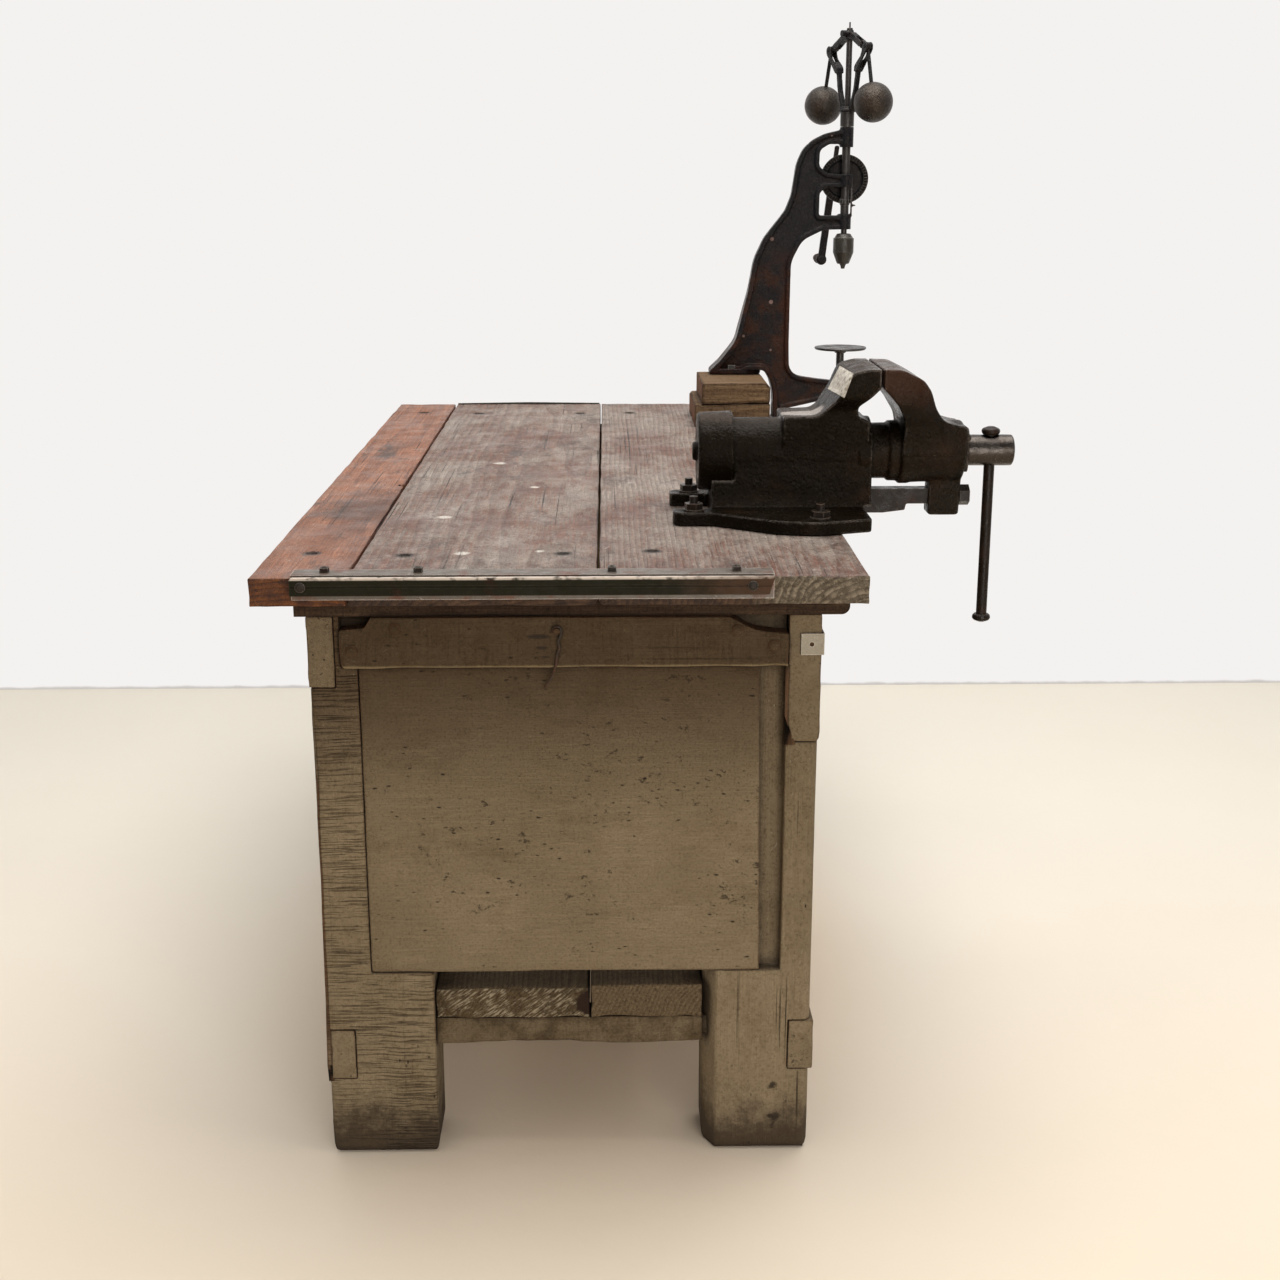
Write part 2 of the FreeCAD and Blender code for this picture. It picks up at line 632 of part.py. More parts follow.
def make_bars():
    edge_y = -HALF_LENGTH
    flat = box(BAR_LEFT, BAR_RIGHT, edge_y - ANGLE_THICK, edge_y + ANGLE_LEG, TOP_HEIGHT,
               TOP_HEIGHT + ANGLE_THICK)
    drop = box(BAR_LEFT, BAR_RIGHT, edge_y - ANGLE_THICK, edge_y, TOP_HEIGHT - ANGLE_LEG, TOP_HEIGHT)
    angle = fused(flat, drop)
    for x in BAR_BOLTS_X:
        angle = angle.cut(bar_bolt_hole(x))
    for x in bar_screw_places():
        angle = angle.cut(bar_screw_path(x))
    save("edge_angle", angle)
    top = TOP_HEIGHT + BAR_RISE
    bar = plate_xz([(BAR_LEFT, top - BAR_HEIGHT, 2), (BAR_RIGHT - BAR_SLANT, top - BAR_HEIGHT),
                    (BAR_RIGHT, top),
                    (BAR_LEFT, top, 4)], bar_front(), bar_front() + BAR_THICK)
    rib_cut = box(BAR_LEFT - 1, BAR_RIGHT + 1, bar_front() - 1, bar_front() + BAR_RIB_DEPTH,
                  bar_middle() - BAR_RIB / 2, bar_middle() + BAR_RIB / 2)
    bar = bar.cut(rib_cut)
    for x in bar_screw_places():
        bar = bar.cut(bar_screw_path(x))
    save("clamp_bar", bar)
    save("bar_bolts", Part.makeCompound(bar_fasteners()))


def bar_fasteners():
    pieces = []
    for x in BAR_BOLTS_X:
        shank = rod(Vec(x, angle_bolt_y(), PLANK_BOTTOM), Z_AXIS, BAR_BOLT_RADIUS, PLANK_THICK + ANGLE_THICK)
        top = prism(Vec(x, angle_bolt_y(), TOP_HEIGHT + ANGLE_THICK), Z_AXIS, NUT_SIDE, NUT_THICK, 4)
        tip = rod(Vec(x, angle_bolt_y(), TOP_HEIGHT + ANGLE_THICK + NUT_THICK), Z_AXIS,
                  BAR_BOLT_RADIUS - 0.5, 1.5)
        pieces.append(fused(shank, top, tip))
    for x in bar_screw_places():
        head = turned([(0, 0), (0, 6.5), (1.2, 6.5), (3, 3), (3, 0)], Vec(x, bar_front(), bar_middle()),
                      -Y_AXIS)
        shank = rod(Vec(x, bar_front(), bar_middle()), Y_AXIS, BAR_BOLT_RADIUS, 50)
        washer = rod(Vec(x, bar_front() + BAR_THICK, bar_middle()), Y_AXIS, 7, BAR_GAP)
        pieces.append(fused(head, shank, washer))
    return pieces


def make_far_strip():
    top = TOP_HEIGHT + STRIP_RISE
    left = LEFT_CRACK_AT + STRIP_INSET
    right = RIGHT_CRACK_AT - STRIP_INSET
    strip = plate_xz([(left, top - STRIP_HEIGHT), (right, top - STRIP_HEIGHT), (right, top - 2),
                      ((left + right) / 2, top, 900), (left, top - 2)], HALF_LENGTH,
                      HALF_LENGTH + STRIP_THICK)
    save("far_edge_strip", strip)


# ---------------------------------------------------------------- bench base
def leg_near(x0, inner_side):
    """Near leg: a thick board, rebated on its end face for the panel and the apron, notched outside."""
    x1 = x0 + LEG_WIDTH
    leg = box(x0, x1, -END_Y, -END_Y + LEG_DEPTH, 0, BASE_TOP)
    bottom_edges = [e for e in leg.Edges if e.CenterOfMass.z < 0.01]
    leg = leg.makeChamfer(FOOT_CHAMFER, bottom_edges)
    if inner_side > 0:
        panel_recess = box(PANEL_LEFT, x1 + 1, -END_Y - 1, -END_Y + RECESS_DEPTH, PANEL_BOTTOM, PANEL_TOP + 1)
        apron_recess = box(APRON_LEFT, x1 + 1, -END_Y - 1, -END_Y + RECESS_DEPTH, PANEL_TOP, BASE_TOP + 1)
        apron_notch = back_apron_block()
        stretcher_notch = stretcher_block(BACK_STRETCHER_X, BACK_STRETCHER_Z)
    else:
        panel_recess = box(x0 - 1, x0 + RECESS_WIDTH, -END_Y - 1, -END_Y + RECESS_DEPTH, PANEL_BOTTOM,
                           BASE_TOP + 1)
        apron_recess = box(x0 - 1, FRONT_APRON_X, -END_Y - 1, -END_Y + RECESS_DEPTH, PANEL_TOP, BASE_TOP + 1)
        apron_notch = front_apron_block()
        stretcher_notch = stretcher_block(FRONT_STRETCHER_X, FRONT_STRETCHER_Z)
        inner = [(x0, -END_Y), (x0 + INNER_CHAMFER_X, -END_Y), (x0, -END_Y + INNER_CHAMFER_Y)]
        outer = [(x1, -END_Y), (x1 - OUTER_CHAMFER, -END_Y), (x1, -END_Y + OUTER_CHAMFER)]
        leg = leg.cut(plate_xy(inner, 0, BASE_TOP)).cut(plate_xy(outer, 0, BASE_TOP))
    leg = leg.cut(panel_recess).cut(apron_recess).cut(apron_notch).cut(stretcher_notch).cut(rail_near())
    for x, z in APRON_BOLTS:
        leg = leg.cut(rod(Vec(x, -END_Y, z), Y_AXIS, APRON_BOLT_RADIUS, LEG_DEPTH))
    return leg


def front_apron_block():
    outer = FRONT_APRON_X + FRONT_APRON_THICK
    corners = [(FRONT_APRON_X, FRONT_APRON_BOTTOM), (outer, FRONT_APRON_BOTTOM, 7), (outer, BASE_TOP),
               (FRONT_APRON_X, BASE_TOP)]
    return plate_xz(corners, -END_Y, END_Y)


def back_apron_block():
    return box(BACK_APRON_X, BACK_APRON_X + BACK_APRON_THICK, -END_Y, END_Y, BACK_APRON_BOTTOM, BASE_TOP)


def stretcher_block(x, z):
    return box(x, x + STRETCHER_THICK, -END_Y, END_Y, z, z + STRETCHER_HEIGHT)


def rail_near():
    """Low cross rail between the legs of one end, with a stub tenon in each leg."""
    y0 = -END_Y + RAIL_INSET
    left = LEFT_LEG_X + LEG_WIDTH
    body = box(left, RIGHT_LEG_X, y0, y0 + RAIL_THICK, RAIL_BOTTOM, RAIL_TOP)
    middle_y = y0 + RAIL_THICK / 2
    middle_z = (RAIL_BOTTOM + RAIL_TOP) / 2
    tenon = box(left - TENON_LENGTH, RIGHT_LEG_X + TENON_LENGTH, middle_y - TENON_THICK / 2,
                middle_y + TENON_THICK / 2, middle_z - TENON_HEIGHT / 2, middle_z + TENON_HEIGHT / 2)
    return fused(body, tenon)


def end_apron_near():
    """Top rail of the end, with a broken left corner and a scooped right corner."""
    y0 = -END_Y + RECESS_DEPTH - APRON_THICK
    right = FRONT_APRON_X
    corners = [(APRON_LEFT, PANEL_TOP, 9), (right, PANEL_TOP), (right, BASE_TOP - APRON_SCALLOP_DROP),
               (right - APRON_SCALLOP_WIDTH * 0.6, BASE_TOP - APRON_SCALLOP_DROP * 0.8, 60),
               (right - APRON_SCALLOP_WIDTH, BASE_TOP), (APRON_LEFT + 3 * APRON_CORNER, BASE_TOP),
               (APRON_LEFT + 2.4 * APRON_CORNER, BASE_TOP - APRON_CORNER, 5),
               (APRON_LEFT, BASE_TOP - APRON_CORNER * 1.2, 4)]
    return plate_xz(corners, y0, y0 + APRON_THICK)


def end_panel_near():
    y1 = -END_Y + RECESS_DEPTH
    corners = [(PANEL_LEFT, PANEL_BOTTOM), (PANEL_RIGHT + PANEL_SLANT, PANEL_BOTTOM, 3), (PANEL_RIGHT,
                                                                                          PANEL_TOP),
               (PANEL_LEFT, PANEL_TOP)]
    return plate_xz(corners, y1 - PANEL_THICK, y1)


def apron_fasteners():
    """Round-headed coach bolts, four to an end apron."""
    bolts = []
    face_y = -END_Y + RECESS_DEPTH - APRON_THICK
    for x, z in APRON_BOLTS:
        reach = 2 * APRON_BOLT_RADIUS
        head = turned([(0, 0), (0, reach), (1, reach - 0.4), (3.2, APRON_BOLT_RADIUS, 2), (3.6, 0)],
                      Vec(x, face_y, z), -Y_AXIS)
        bolt = fused(head, rod(Vec(x, face_y, z), Y_AXIS, APRON_BOLT_RADIUS, APRON_THICK + 60))
        bolts += [bolt, mirrored_y(bolt)]
    return bolts


def cut_apron_holes(apron):
    for x, z in APRON_BOLTS:
        apron = apron.cut(rod(Vec(x, -END_Y - 30, z), Y_AXIS, APRON_BOLT_RADIUS, 90))
    return apron


def make_base():
    for name, x0, side in (("left", LEFT_LEG_X, 1), ("right", RIGHT_LEG_X, -1)):
        leg = leg_near(x0, side)
        save("leg_near_" + name, leg)
        save("leg_far_" + name, mirrored_y(leg))
    apron = cut_apron_holes(end_apron_near())
    save("end_apron_near", apron)
    save("end_apron_far", mirrored_y(apron))
    save("end_panel_near", end_panel_near())
    save("end_panel_far", mirrored_y(end_panel_near()))
    save("lower_rail_near", rail_near())
    save("lower_rail_far", mirrored_y(rail_near()))
    front = front_apron_block()
    back = back_apron_block()
    for x, z in APRON_BOLTS:
        hole = rod(Vec(x, -END_Y, z), Y_AXIS, APRON_BOLT_RADIUS, LEG_DEPTH)
        back = back.cut(hole).cut(mirrored_y(hole))
    save("front_apron", front)
    save("back_apron", back)
    save("side_stretcher_front", stretcher_block(FRONT_STRETCHER_X, FRONT_STRETCHER_Z))
    save("side_stretcher_back", stretcher_block(BACK_STRETCHER_X, BACK_STRETCHER_Z))
    board_y = END_Y - BOARD_INSET
    left = box(LEFT_LEG_X + LEG_WIDTH + LEFT_BOARD_INSET, BOARD_JOINT_X - BOARD_GAP / 2, -board_y, board_y,
               RAIL_TOP, RAIL_TOP + LEFT_BOARD_THICK)
    right = box(BOARD_JOINT_X + BOARD_GAP / 2, RIGHT_LEG_X - RIGHT_BOARD_INSET, -board_y, board_y,
                RAIL_TOP, RAIL_TOP + RIGHT_BOARD_THICK)
    save("shelf_board_left", left)
    save("shelf_board_right", right)


def make_strap():
    """Steel strap bent round the near corner of the front apron, and its two screws."""
    outer_x = FRONT_APRON_X + FRONT_APRON_THICK
    near_y = -END_Y
    z0 = STRAP_Z - STRAP_WIDTH / 2
    z1 = STRAP_Z + STRAP_WIDTH / 2
    face = box(outer_x - STRAP_REACH, outer_x + STRAP_THICK, near_y - STRAP_THICK, near_y, z0, z1)
    side = box(outer_x, outer_x + STRAP_THICK, near_y - STRAP_THICK, near_y + STRAP_BACK, z0, z1)
    face_x = outer_x - STRAP_REACH / 2
    side_y = near_y + STRAP_BACK - STRAP_SCREW_INSET
    face_hole = rod(Vec(face_x, near_y - 10, STRAP_Z), Y_AXIS, 3, 20)
    side_hole = rod(Vec(outer_x - 1, side_y, STRAP_Z), X_AXIS, 3, 10)
    strap = fused(face, side).cut(face_hole).cut(side_hole)
    save("corner_strap", strap)


def strap_screws():
    """A flush screw in the near face of the strap and a round-headed one in its side."""
    outer_x = FRONT_APRON_X + FRONT_APRON_THICK
    face_x = outer_x - STRAP_REACH / 2
    side_y = -END_Y + STRAP_BACK - STRAP_SCREW_INSET
    near_y = -END_Y
    face_head = rod(Vec(face_x, near_y - STRAP_THICK + 0.5, STRAP_Z), Y_AXIS, 3, STRAP_THICK - 0.5)
    side_head = rod(Vec(outer_x, side_y, STRAP_Z), X_AXIS, 3, STRAP_THICK)
    side_dome = turned([(0, 0), (0, 5), (1, 4.6), (2.2, 2.4), (2.4, 0)],
                       Vec(outer_x + STRAP_THICK, side_y, STRAP_Z), X_AXIS)
    return [face_head, fused(side_head, side_dome)]


def wire_path():
    """Bent iron wire: a loop round the nail, a kinked drop and a small open eye near the tail."""
    hang = NAIL_RADIUS + WIRE_RADIUS + SEAT_GAP
    return [(-5.5, -3.0), (-4.5, hang / 2), (-2.0, hang), (2.0, hang), (4.5, hang / 2), (5.5, -3.0),
            (4.5, -8.0), (1.5, -14.0),
            (3.0, -24.0), (-0.5, -34.0), (-1.5, -46.0), (-5.0, -58.0), (-11.0, -70.0), (-16.0, -77.0)]


def make_hook():
    """Wire hung on a nail in the end apron."""
    face_y = -END_Y + RECESS_DEPTH - APRON_THICK
    wire_y = face_y - WIRE_RADIUS - SEAT_GAP
    points = [Vec(HOOK_X + a, wire_y, HOOK_Z + b) for a, b in wire_path()]
    pieces = []
    for start, end in zip(points[:-1], points[1:]):
        run = end - start
        pieces.append(rod(start, run, WIRE_RADIUS, run.Length))
        pieces.append(Part.makeSphere(WIRE_RADIUS, end))
    pieces.append(Part.makeSphere(WIRE_RADIUS, points[0]))
    save("wire_hook", pieces[0].multiFuse(pieces[1:]))


def hook_nail():
    """Nail in the end apron, with its head standing clear of the wood."""
    face_y = -END_Y + RECESS_DEPTH - APRON_THICK
    shank = rod(Vec(HOOK_X, face_y - NAIL_REACH, HOOK_Z), Y_AXIS, NAIL_RADIUS, NAIL_REACH)
    head = rod(Vec(HOOK_X, face_y - NAIL_REACH - 2, HOOK_Z), Y_AXIS, 2 * NAIL_RADIUS, 2)
    return fused(shank, head)


# ---------------------------------------------------------------- packing blocks
def make_blocks():
    middle = TOP_HEIGHT + LOWER_BLOCK_THICK
    holes = Part.makeCompound(foot_bolt_shanks())
    lower = box(BLOCK_RIGHT - LOWER_BLOCK_WIDTH, BLOCK_RIGHT, BLOCK_NEAR,
                BLOCK_NEAR + LOWER_BLOCK_LENGTH, TOP_HEIGHT, middle)
    upper_left = BLOCK_RIGHT - UPPER_BLOCK_WIDTH
    upper = plate_xz([(upper_left, middle), (BLOCK_RIGHT, middle), (BLOCK_RIGHT, BLOCK_TOP - BLOCK_CHAMFER),
                      (BLOCK_RIGHT - BLOCK_CHAMFER, BLOCK_TOP), (upper_left, BLOCK_TOP)],
                     BLOCK_NEAR, BLOCK_NEAR + UPPER_BLOCK_LENGTH)
    save("packing_block_lower", lower.cut(holes))
    save("packing_block_upper", upper.cut(holes))


# ---------------------------------------------------------------- vise, fixed side
def vise_base():
    """Foot of the vise: two rear lugs and wide front ears."""
    half = [(-297.5, 60), (-297.5, 96, 14), (-240.5, 98, 30), (-153.5, 160, 45), (-97.5, 173, 60),
            (-16.5, 145, 8)]
    near = [(JAW_FACE_X + corner[0], VISE_Y - corner[1]) + tuple(corner[2:]) for corner in half]
    far = [(JAW_FACE_X + corner[0], VISE_Y + corner[1]) + tuple(corner[2:]) for corner in reversed(half)]
    rear = [(BODY_REAR, VISE_Y + 60, 8), (BODY_REAR, VISE_Y - 60, 8)]
    return plate_xy(near + far + rear, TOP_HEIGHT, TOP_HEIGHT + BASE_THICK)


def neck_plan(rear_x, front_x, wide_from):
    """Plan of a jaw: narrow over the barrel and spreading to the full jaw width."""
    return [(rear_x, VISE_Y - NECK_HALF_WIDTH), (wide_from - 40, VISE_Y - NECK_HALF_WIDTH, 40),
            (wide_from, VISE_Y - JAW_HALF_WIDTH, 20), (front_x, VISE_Y - JAW_HALF_WIDTH),
            (front_x, VISE_Y + JAW_HALF_WIDTH), (wide_from, VISE_Y + JAW_HALF_WIDTH, 20),
            (wide_from - 40, VISE_Y + NECK_HALF_WIDTH, 40), (rear_x, VISE_Y + NECK_HALF_WIDTH)]


def jaw_front_view(shoulder, waist):
    """Front view of a jaw: full width above the shoulder, drawn in to the barrel below the waist."""
    half = JAW_HALF_WIDTH
    near = [(-50, -55), (-BODY_HALF_WIDTH - 1, 10, 30), (-NECK_HALF_WIDTH - 3, waist, 12),
            (-half, shoulder, 8),
            (-half, JAW_RISE + 5)]
    far = [(-corner[0], corner[1]) + tuple(corner[2:]) for corner in reversed(near)]
    return [(VISE_Y + corner[0], VISE_AXIS_Z + corner[1]) + tuple(corner[2:]) for corner in near + far]


def fixed_jaw():
    side = [(-NECK_LENGTH, 0), (-NECK_LENGTH, 57, 3), (-84, 58, 25), (-58, 90, 40), (-44, 122, 22),
            (-20, JAW_RISE, 30),
            (0, JAW_RISE), (0, JAW_RISE - JAW_FACE_DEEP, 3), (-16, 85, 30), (-29, 72, 12), (-28, 58, 4),
            (BARREL_OUT - 6, 50),
            (BARREL_OUT - 6, 0)]
    profile = plate_xz(side, VISE_Y - JAW_HALF_WIDTH - 20, VISE_Y + JAW_HALF_WIDTH + 20, on_vise_side)
    plan = plate_xy(neck_plan(NECK_REAR - 1, JAW_FACE_X + 1, JAW_FACE_X - 52), TOP_HEIGHT, JAW_TOP + 20)
    front = plate_yz(jaw_front_view(86, 68), NECK_REAR - 1, JAW_FACE_X + 1)
    return profile.common(plan).common(front)


def make_vise_body():
    origin = Vec(BARREL_REAR, VISE_Y, VISE_AXIS_Z)
    barrel = rod(origin, X_AXIS, BARREL_RADIUS, BARREL_FRONT - BARREL_REAR)
    ring = rod(Vec(BARREL_FRONT - FRONT_RING, VISE_Y, VISE_AXIS_Z), X_AXIS,
               BARREL_RADIUS + FRONT_RING_RISE, FRONT_RING)
    half = BODY_HALF_WIDTH
    section = [(VISE_Y - half - 9, TOP_HEIGHT + BASE_THICK), (VISE_Y - half,
                                                              TOP_HEIGHT + BASE_THICK + 14, 12),
               (VISE_Y - half, VISE_AXIS_Z), (VISE_Y + half, VISE_AXIS_Z),
               (VISE_Y + half, TOP_HEIGHT + BASE_THICK + 14, 12), (VISE_Y + half + 9,
                                                                   TOP_HEIGHT + BASE_THICK)]
    pedestal = plate_yz(section, BODY_REAR, BARREL_FRONT)
    body = fused(vise_base(), pedestal, barrel, ring, fixed_jaw())
    cap_room = rod(Vec(CAP_REAR, VISE_Y, VISE_AXIS_Z), X_AXIS, CAP_RADIUS, CAP_LENGTH)
    cap_room = cap_room.cut(rod(origin, X_AXIS, BARREL_RADIUS, CAP_FRONT - BARREL_REAR))
    bore = rod(Vec(CAP_REAR, VISE_Y, VISE_AXIS_Z), X_AXIS, RAM_RADIUS + RAM_CLEARANCE,
               BARREL_LENGTH + CAP_LENGTH)
    guide_slot = box(GUIDE_REAR - JAW_OPEN - SEAT_GAP, BARREL_FRONT + 30,
                     VISE_Y - GUIDE_HALF_WIDTH - SEAT_GAP,
                     VISE_Y + GUIDE_HALF_WIDTH + SEAT_GAP, GUIDE_BOTTOM - SEAT_GAP, GUIDE_TOP + SEAT_GAP)
    body = body.cut(cap_room).cut(bore).cut(guide_slot)
    for x, y in VISE_BOLTS:
        body = body.cut(rod(Vec(x, VISE_Y + y, TOP_HEIGHT - 1), Z_AXIS, VISE_BOLT_RADIUS + 0.5, 60))
    save("vise_body", body)


def make_vise_cap():
    """Rear cap over the end of the barrel, with the square of the nut sleeve showing through it."""
    outer = turned([(0, 0), (0, CAP_RADIUS - 4), (3, CAP_RADIUS - 2, 2), (CAP_LENGTH - 2, CAP_RADIUS),
                    (CAP_LENGTH, CAP_RADIUS - 2), (CAP_LENGTH, BARREL_RADIUS),
                    (CAP_FLOOR, BARREL_RADIUS), (CAP_FLOOR, 0)],
                   Vec(CAP_REAR, VISE_Y, VISE_AXIS_Z), X_AXIS)
    boss = turned([(-CAP_BOSS_LENGTH, 0), (-CAP_BOSS_LENGTH, CAP_BOSS_RADIUS - 2), (0, CAP_BOSS_RADIUS),
                   (0, 0)],
                  Vec(CAP_REAR, VISE_Y, VISE_AXIS_Z), X_AXIS)
    save("vise_end_cap", fused(outer, boss))


def make_vise_nut():
    """Long nut keyed to the rear cap; its thread is at the front, inside the hollow ram."""
    rear = CAP_REAR + CAP_FLOOR
    sleeve = rod(Vec(rear, VISE_Y, VISE_AXIS_Z), X_AXIS, NUT_SLEEVE_RADIUS, NUT_FRONT - rear)
    flange = rod(Vec(rear, VISE_Y, VISE_AXIS_Z), X_AXIS, RAM_RADIUS, 12)
    thread = rod(Vec(rear - 1, VISE_Y, VISE_AXIS_Z), X_AXIS, SCREW_RADIUS + SCREW_CLEARANCE, NUT_FRONT)
    relief = rod(Vec(rear - 1, VISE_Y, VISE_AXIS_Z), X_AXIS, SCREW_RADIUS + 3,
                 NUT_FRONT - NUT_THREAD_LENGTH - rear)
    save("vise_nut", fused(sleeve, flange).cut(thread).cut(relief))


def vise_bolt(x, y):
    """Stud through the top with a nut above the lug and a square head below the plank."""
    top = TOP_HEIGHT + BASE_THICK
    at = Vec(x, VISE_Y + y, 0)
    stud = rod(at + Vec(0, 0, PLANK_BOTTOM - 8), Z_AXIS, VISE_BOLT_RADIUS,
               top + VISE_NUT_THICK + VISE_BOLT_RISE - PLANK_BOTTOM + 8)
    nut = prism(at + Vec(0, 0, top + 2), Z_AXIS, VISE_NUT_FLATS, VISE_NUT_THICK - 2, 6, 12)
    washer = rod(at + Vec(0, 0, top), Z_AXIS, 15, 2)
    head = prism(at + Vec(0, 0, PLANK_BOTTOM - 8), Z_AXIS, 20, 8, 4)
    return fused(stud, nut, washer, head)


# ---------------------------------------------------------------- vise, moving side
def moving_jaw_horn():
    """The arched part of the moving jaw, from its face down to the boss."""
    end = BOSS_BACK + BOSS_LENGTH
    side = [(0, JAW_RISE), (28, JAW_RISE - 1, 26), (60, 111, 28), (72, 95, 30), (81, 69, 40),
            (95, 49, 26), (118, 43, 20),
            (end, 41), (end, 0), (BOSS_BACK, 0), (BOSS_BACK + 2, 40, 4), (BOSS_BACK, 52, 12),
            (24, 73, 30), (9, 91, 12),
            (0, JAW_RISE - JAW_FACE_DEEP, 2)]
    profile = plate_xz(side, VISE_Y - JAW_HALF_WIDTH - 20, VISE_Y + JAW_HALF_WIDTH + 20, on_moving_side)
    half = JAW_HALF_WIDTH
    near = [(-1, -half), (52, -half + 2, 26), (92, -BOSS_RADIUS - 3, 30), (end + 1, -BOSS_RADIUS + 4)]
    far = [(corner[0], -corner[1]) + tuple(corner[2:]) for corner in reversed(near)]
    plan = [(MOVING_FACE_X + corner[0], VISE_Y + corner[1]) + tuple(corner[2:]) for corner in near + far]
    horn = profile.common(plate_xy(plan, TOP_HEIGHT, JAW_TOP + 20))
    return horn.common(plate_yz(jaw_front_view(78, 45), MOVING_FACE_X - 1, BOSS_FRONT + 1))


def make_moving_jaw():
    axis = Vec(0, VISE_Y, VISE_AXIS_Z)
    boss = turned([(BOSS_REAR, 0), (BOSS_REAR, BOSS_RADIUS + 1, 3), (BOSS_REAR + 15, BOSS_RADIUS + 1, 4),
                   (BOSS_REAR + 19, BOSS_RADIUS - 0.5, 4), (BOSS_FRONT, BOSS_RADIUS - 3, 5),
                   (BOSS_FRONT, 0)], axis, X_AXIS)
    collar = rod(Vec(BOSS_REAR - COLLAR_LENGTH, VISE_Y, VISE_AXIS_Z), X_AXIS, COLLAR_RADIUS, COLLAR_LENGTH)
    ram = rod(Vec(RAM_REAR, VISE_Y, VISE_AXIS_Z), X_AXIS, RAM_RADIUS, BOSS_REAR - RAM_REAR)
    lug_bottom = VISE_AXIS_Z - LUG_DROP
    lug = plate_xz([(LUG_REAR, lug_bottom, 4), (LUG_REAR + LUG_LENGTH - 2, lug_bottom, 5),
                    (LUG_REAR + LUG_LENGTH, VISE_AXIS_Z - 30), (LUG_REAR, VISE_AXIS_Z - 30)],
                   VISE_Y - LUG_HALF_WIDTH, VISE_Y + LUG_HALF_WIDTH)
    jaw = fused(moving_jaw_horn(), boss, collar, ram, lug)
    wall_rear = BOSS_FRONT - SCREW_WALL
    hollow = rod(Vec(RAM_REAR - 1, VISE_Y, VISE_AXIS_Z), X_AXIS, RAM_RADIUS - RAM_WALL,
                 wall_rear - RAM_REAR + 1)
    screw_bore = rod(Vec(wall_rear - 1, VISE_Y, VISE_AXIS_Z), X_AXIS, SCREW_RADIUS + SCREW_CLEARANCE, 60)
    collar_seat = rod(Vec(BOSS_FRONT - SCREW_COLLAR_LENGTH - SEAT_GAP, VISE_Y, VISE_AXIS_Z), X_AXIS,
                      SCREW_COLLAR_RADIUS + SEAT_GAP, 30)
    shank_bore = rod(Vec(LUG_REAR - 1, VISE_Y, guide_shank_z()), X_AXIS, GUIDE_SHANK_RADIUS, LUG_LENGTH + 10)
    jaw = jaw.cut(hollow).cut(screw_bore).cut(collar_seat).cut(shank_bore)
    for shank, tip in retainer_screw_shanks():
        jaw = jaw.cut(shank)
    save("moving_jaw", jaw)


def guide_shank_z():
    return GUIDE_TOP - GUIDE_SLIM / 2


def guide_nut_x():
    return LUG_REAR + LUG_LENGTH


def make_guide_bar():
    """Flat bar below the ram that keeps the moving jaw upright; its round end is bolted to the lug."""
    half = GUIDE_HALF_WIDTH
    side = [(GUIDE_REAR, GUIDE_BOTTOM), (GUIDE_STEP_X - 35, GUIDE_BOTTOM), (GUIDE_STEP_X - 2,
                                                                            GUIDE_BOTTOM + 4, 2),
            (GUIDE_STEP_X, GUIDE_TOP - GUIDE_SLIM, 3), (LUG_REAR, GUIDE_TOP - GUIDE_SLIM),
            (LUG_REAR, GUIDE_TOP),
            (GUIDE_REAR, GUIDE_TOP)]
    bar = plate_xz(side, VISE_Y - half, VISE_Y + half)
    shank = rod(Vec(LUG_REAR, VISE_Y, guide_shank_z()), X_AXIS, GUIDE_SHANK_RADIUS,
                LUG_LENGTH + GUIDE_NUT_LENGTH)
    save("guide_bar", fused(bar, shank))


def guide_nut():
    nut = prism(Vec(guide_nut_x(), VISE_Y, guide_shank_z()), X_AXIS, GUIDE_NUT_FLATS, GUIDE_NUT_LENGTH, 6, 30)
    shank_hole = rod(Vec(guide_nut_x() - 1, VISE_Y, guide_shank_z()), X_AXIS, GUIDE_SHANK_RADIUS, 40)
    return nut.cut(shank_hole)


def retainer_screw_shanks():
    """Shank and outer end of each screw of the retaining plate."""
    shanks = []
    for y in (-RETAINER_SCREW_OUT, RETAINER_SCREW_OUT):
        start = Vec(BOSS_FRONT - RETAINER_SCREW_DEEP, VISE_Y + y, VISE_AXIS_Z + RETAINER_SCREW_OUT)
        length = RETAINER_SCREW_DEEP + RETAINER_THICK
        shanks.append((rod(start, X_AXIS, 2.5, length), start + X_AXIS * length))
    return shanks


def make_retainer():
    """Plate on the front of the moving jaw that keeps the screw collar in its seat."""
    half = RETAINER_HALF
    corners = [(VISE_Y - half, VISE_AXIS_Z - half, 12), (VISE_Y + half, VISE_AXIS_Z - half, 12),
               (VISE_Y + half, VISE_AXIS_Z + half + 6, 12), (VISE_Y - half, VISE_AXIS_Z + half + 6, 12)]
    plate = plate_yz(corners, BOSS_FRONT, BOSS_FRONT + RETAINER_THICK)
    plate = plate.cut(rod(Vec(BOSS_FRONT - 1, VISE_Y, VISE_AXIS_Z), X_AXIS,
                          SCREW_RADIUS + SCREW_CLEARANCE, 20))
    fasteners = [guide_nut()]
    for shank, tip in retainer_screw_shanks():
        plate = plate.cut(shank)
        head = turned([(0, 0), (0, 5), (1.5, 5), (3.5, 2.5), (3.5, 0)], tip, X_AXIS)
        fasteners.append(fused(shank, head))
    save("retaining_plate", plate)
    save("jaw_fasteners", Part.makeCompound(fasteners))


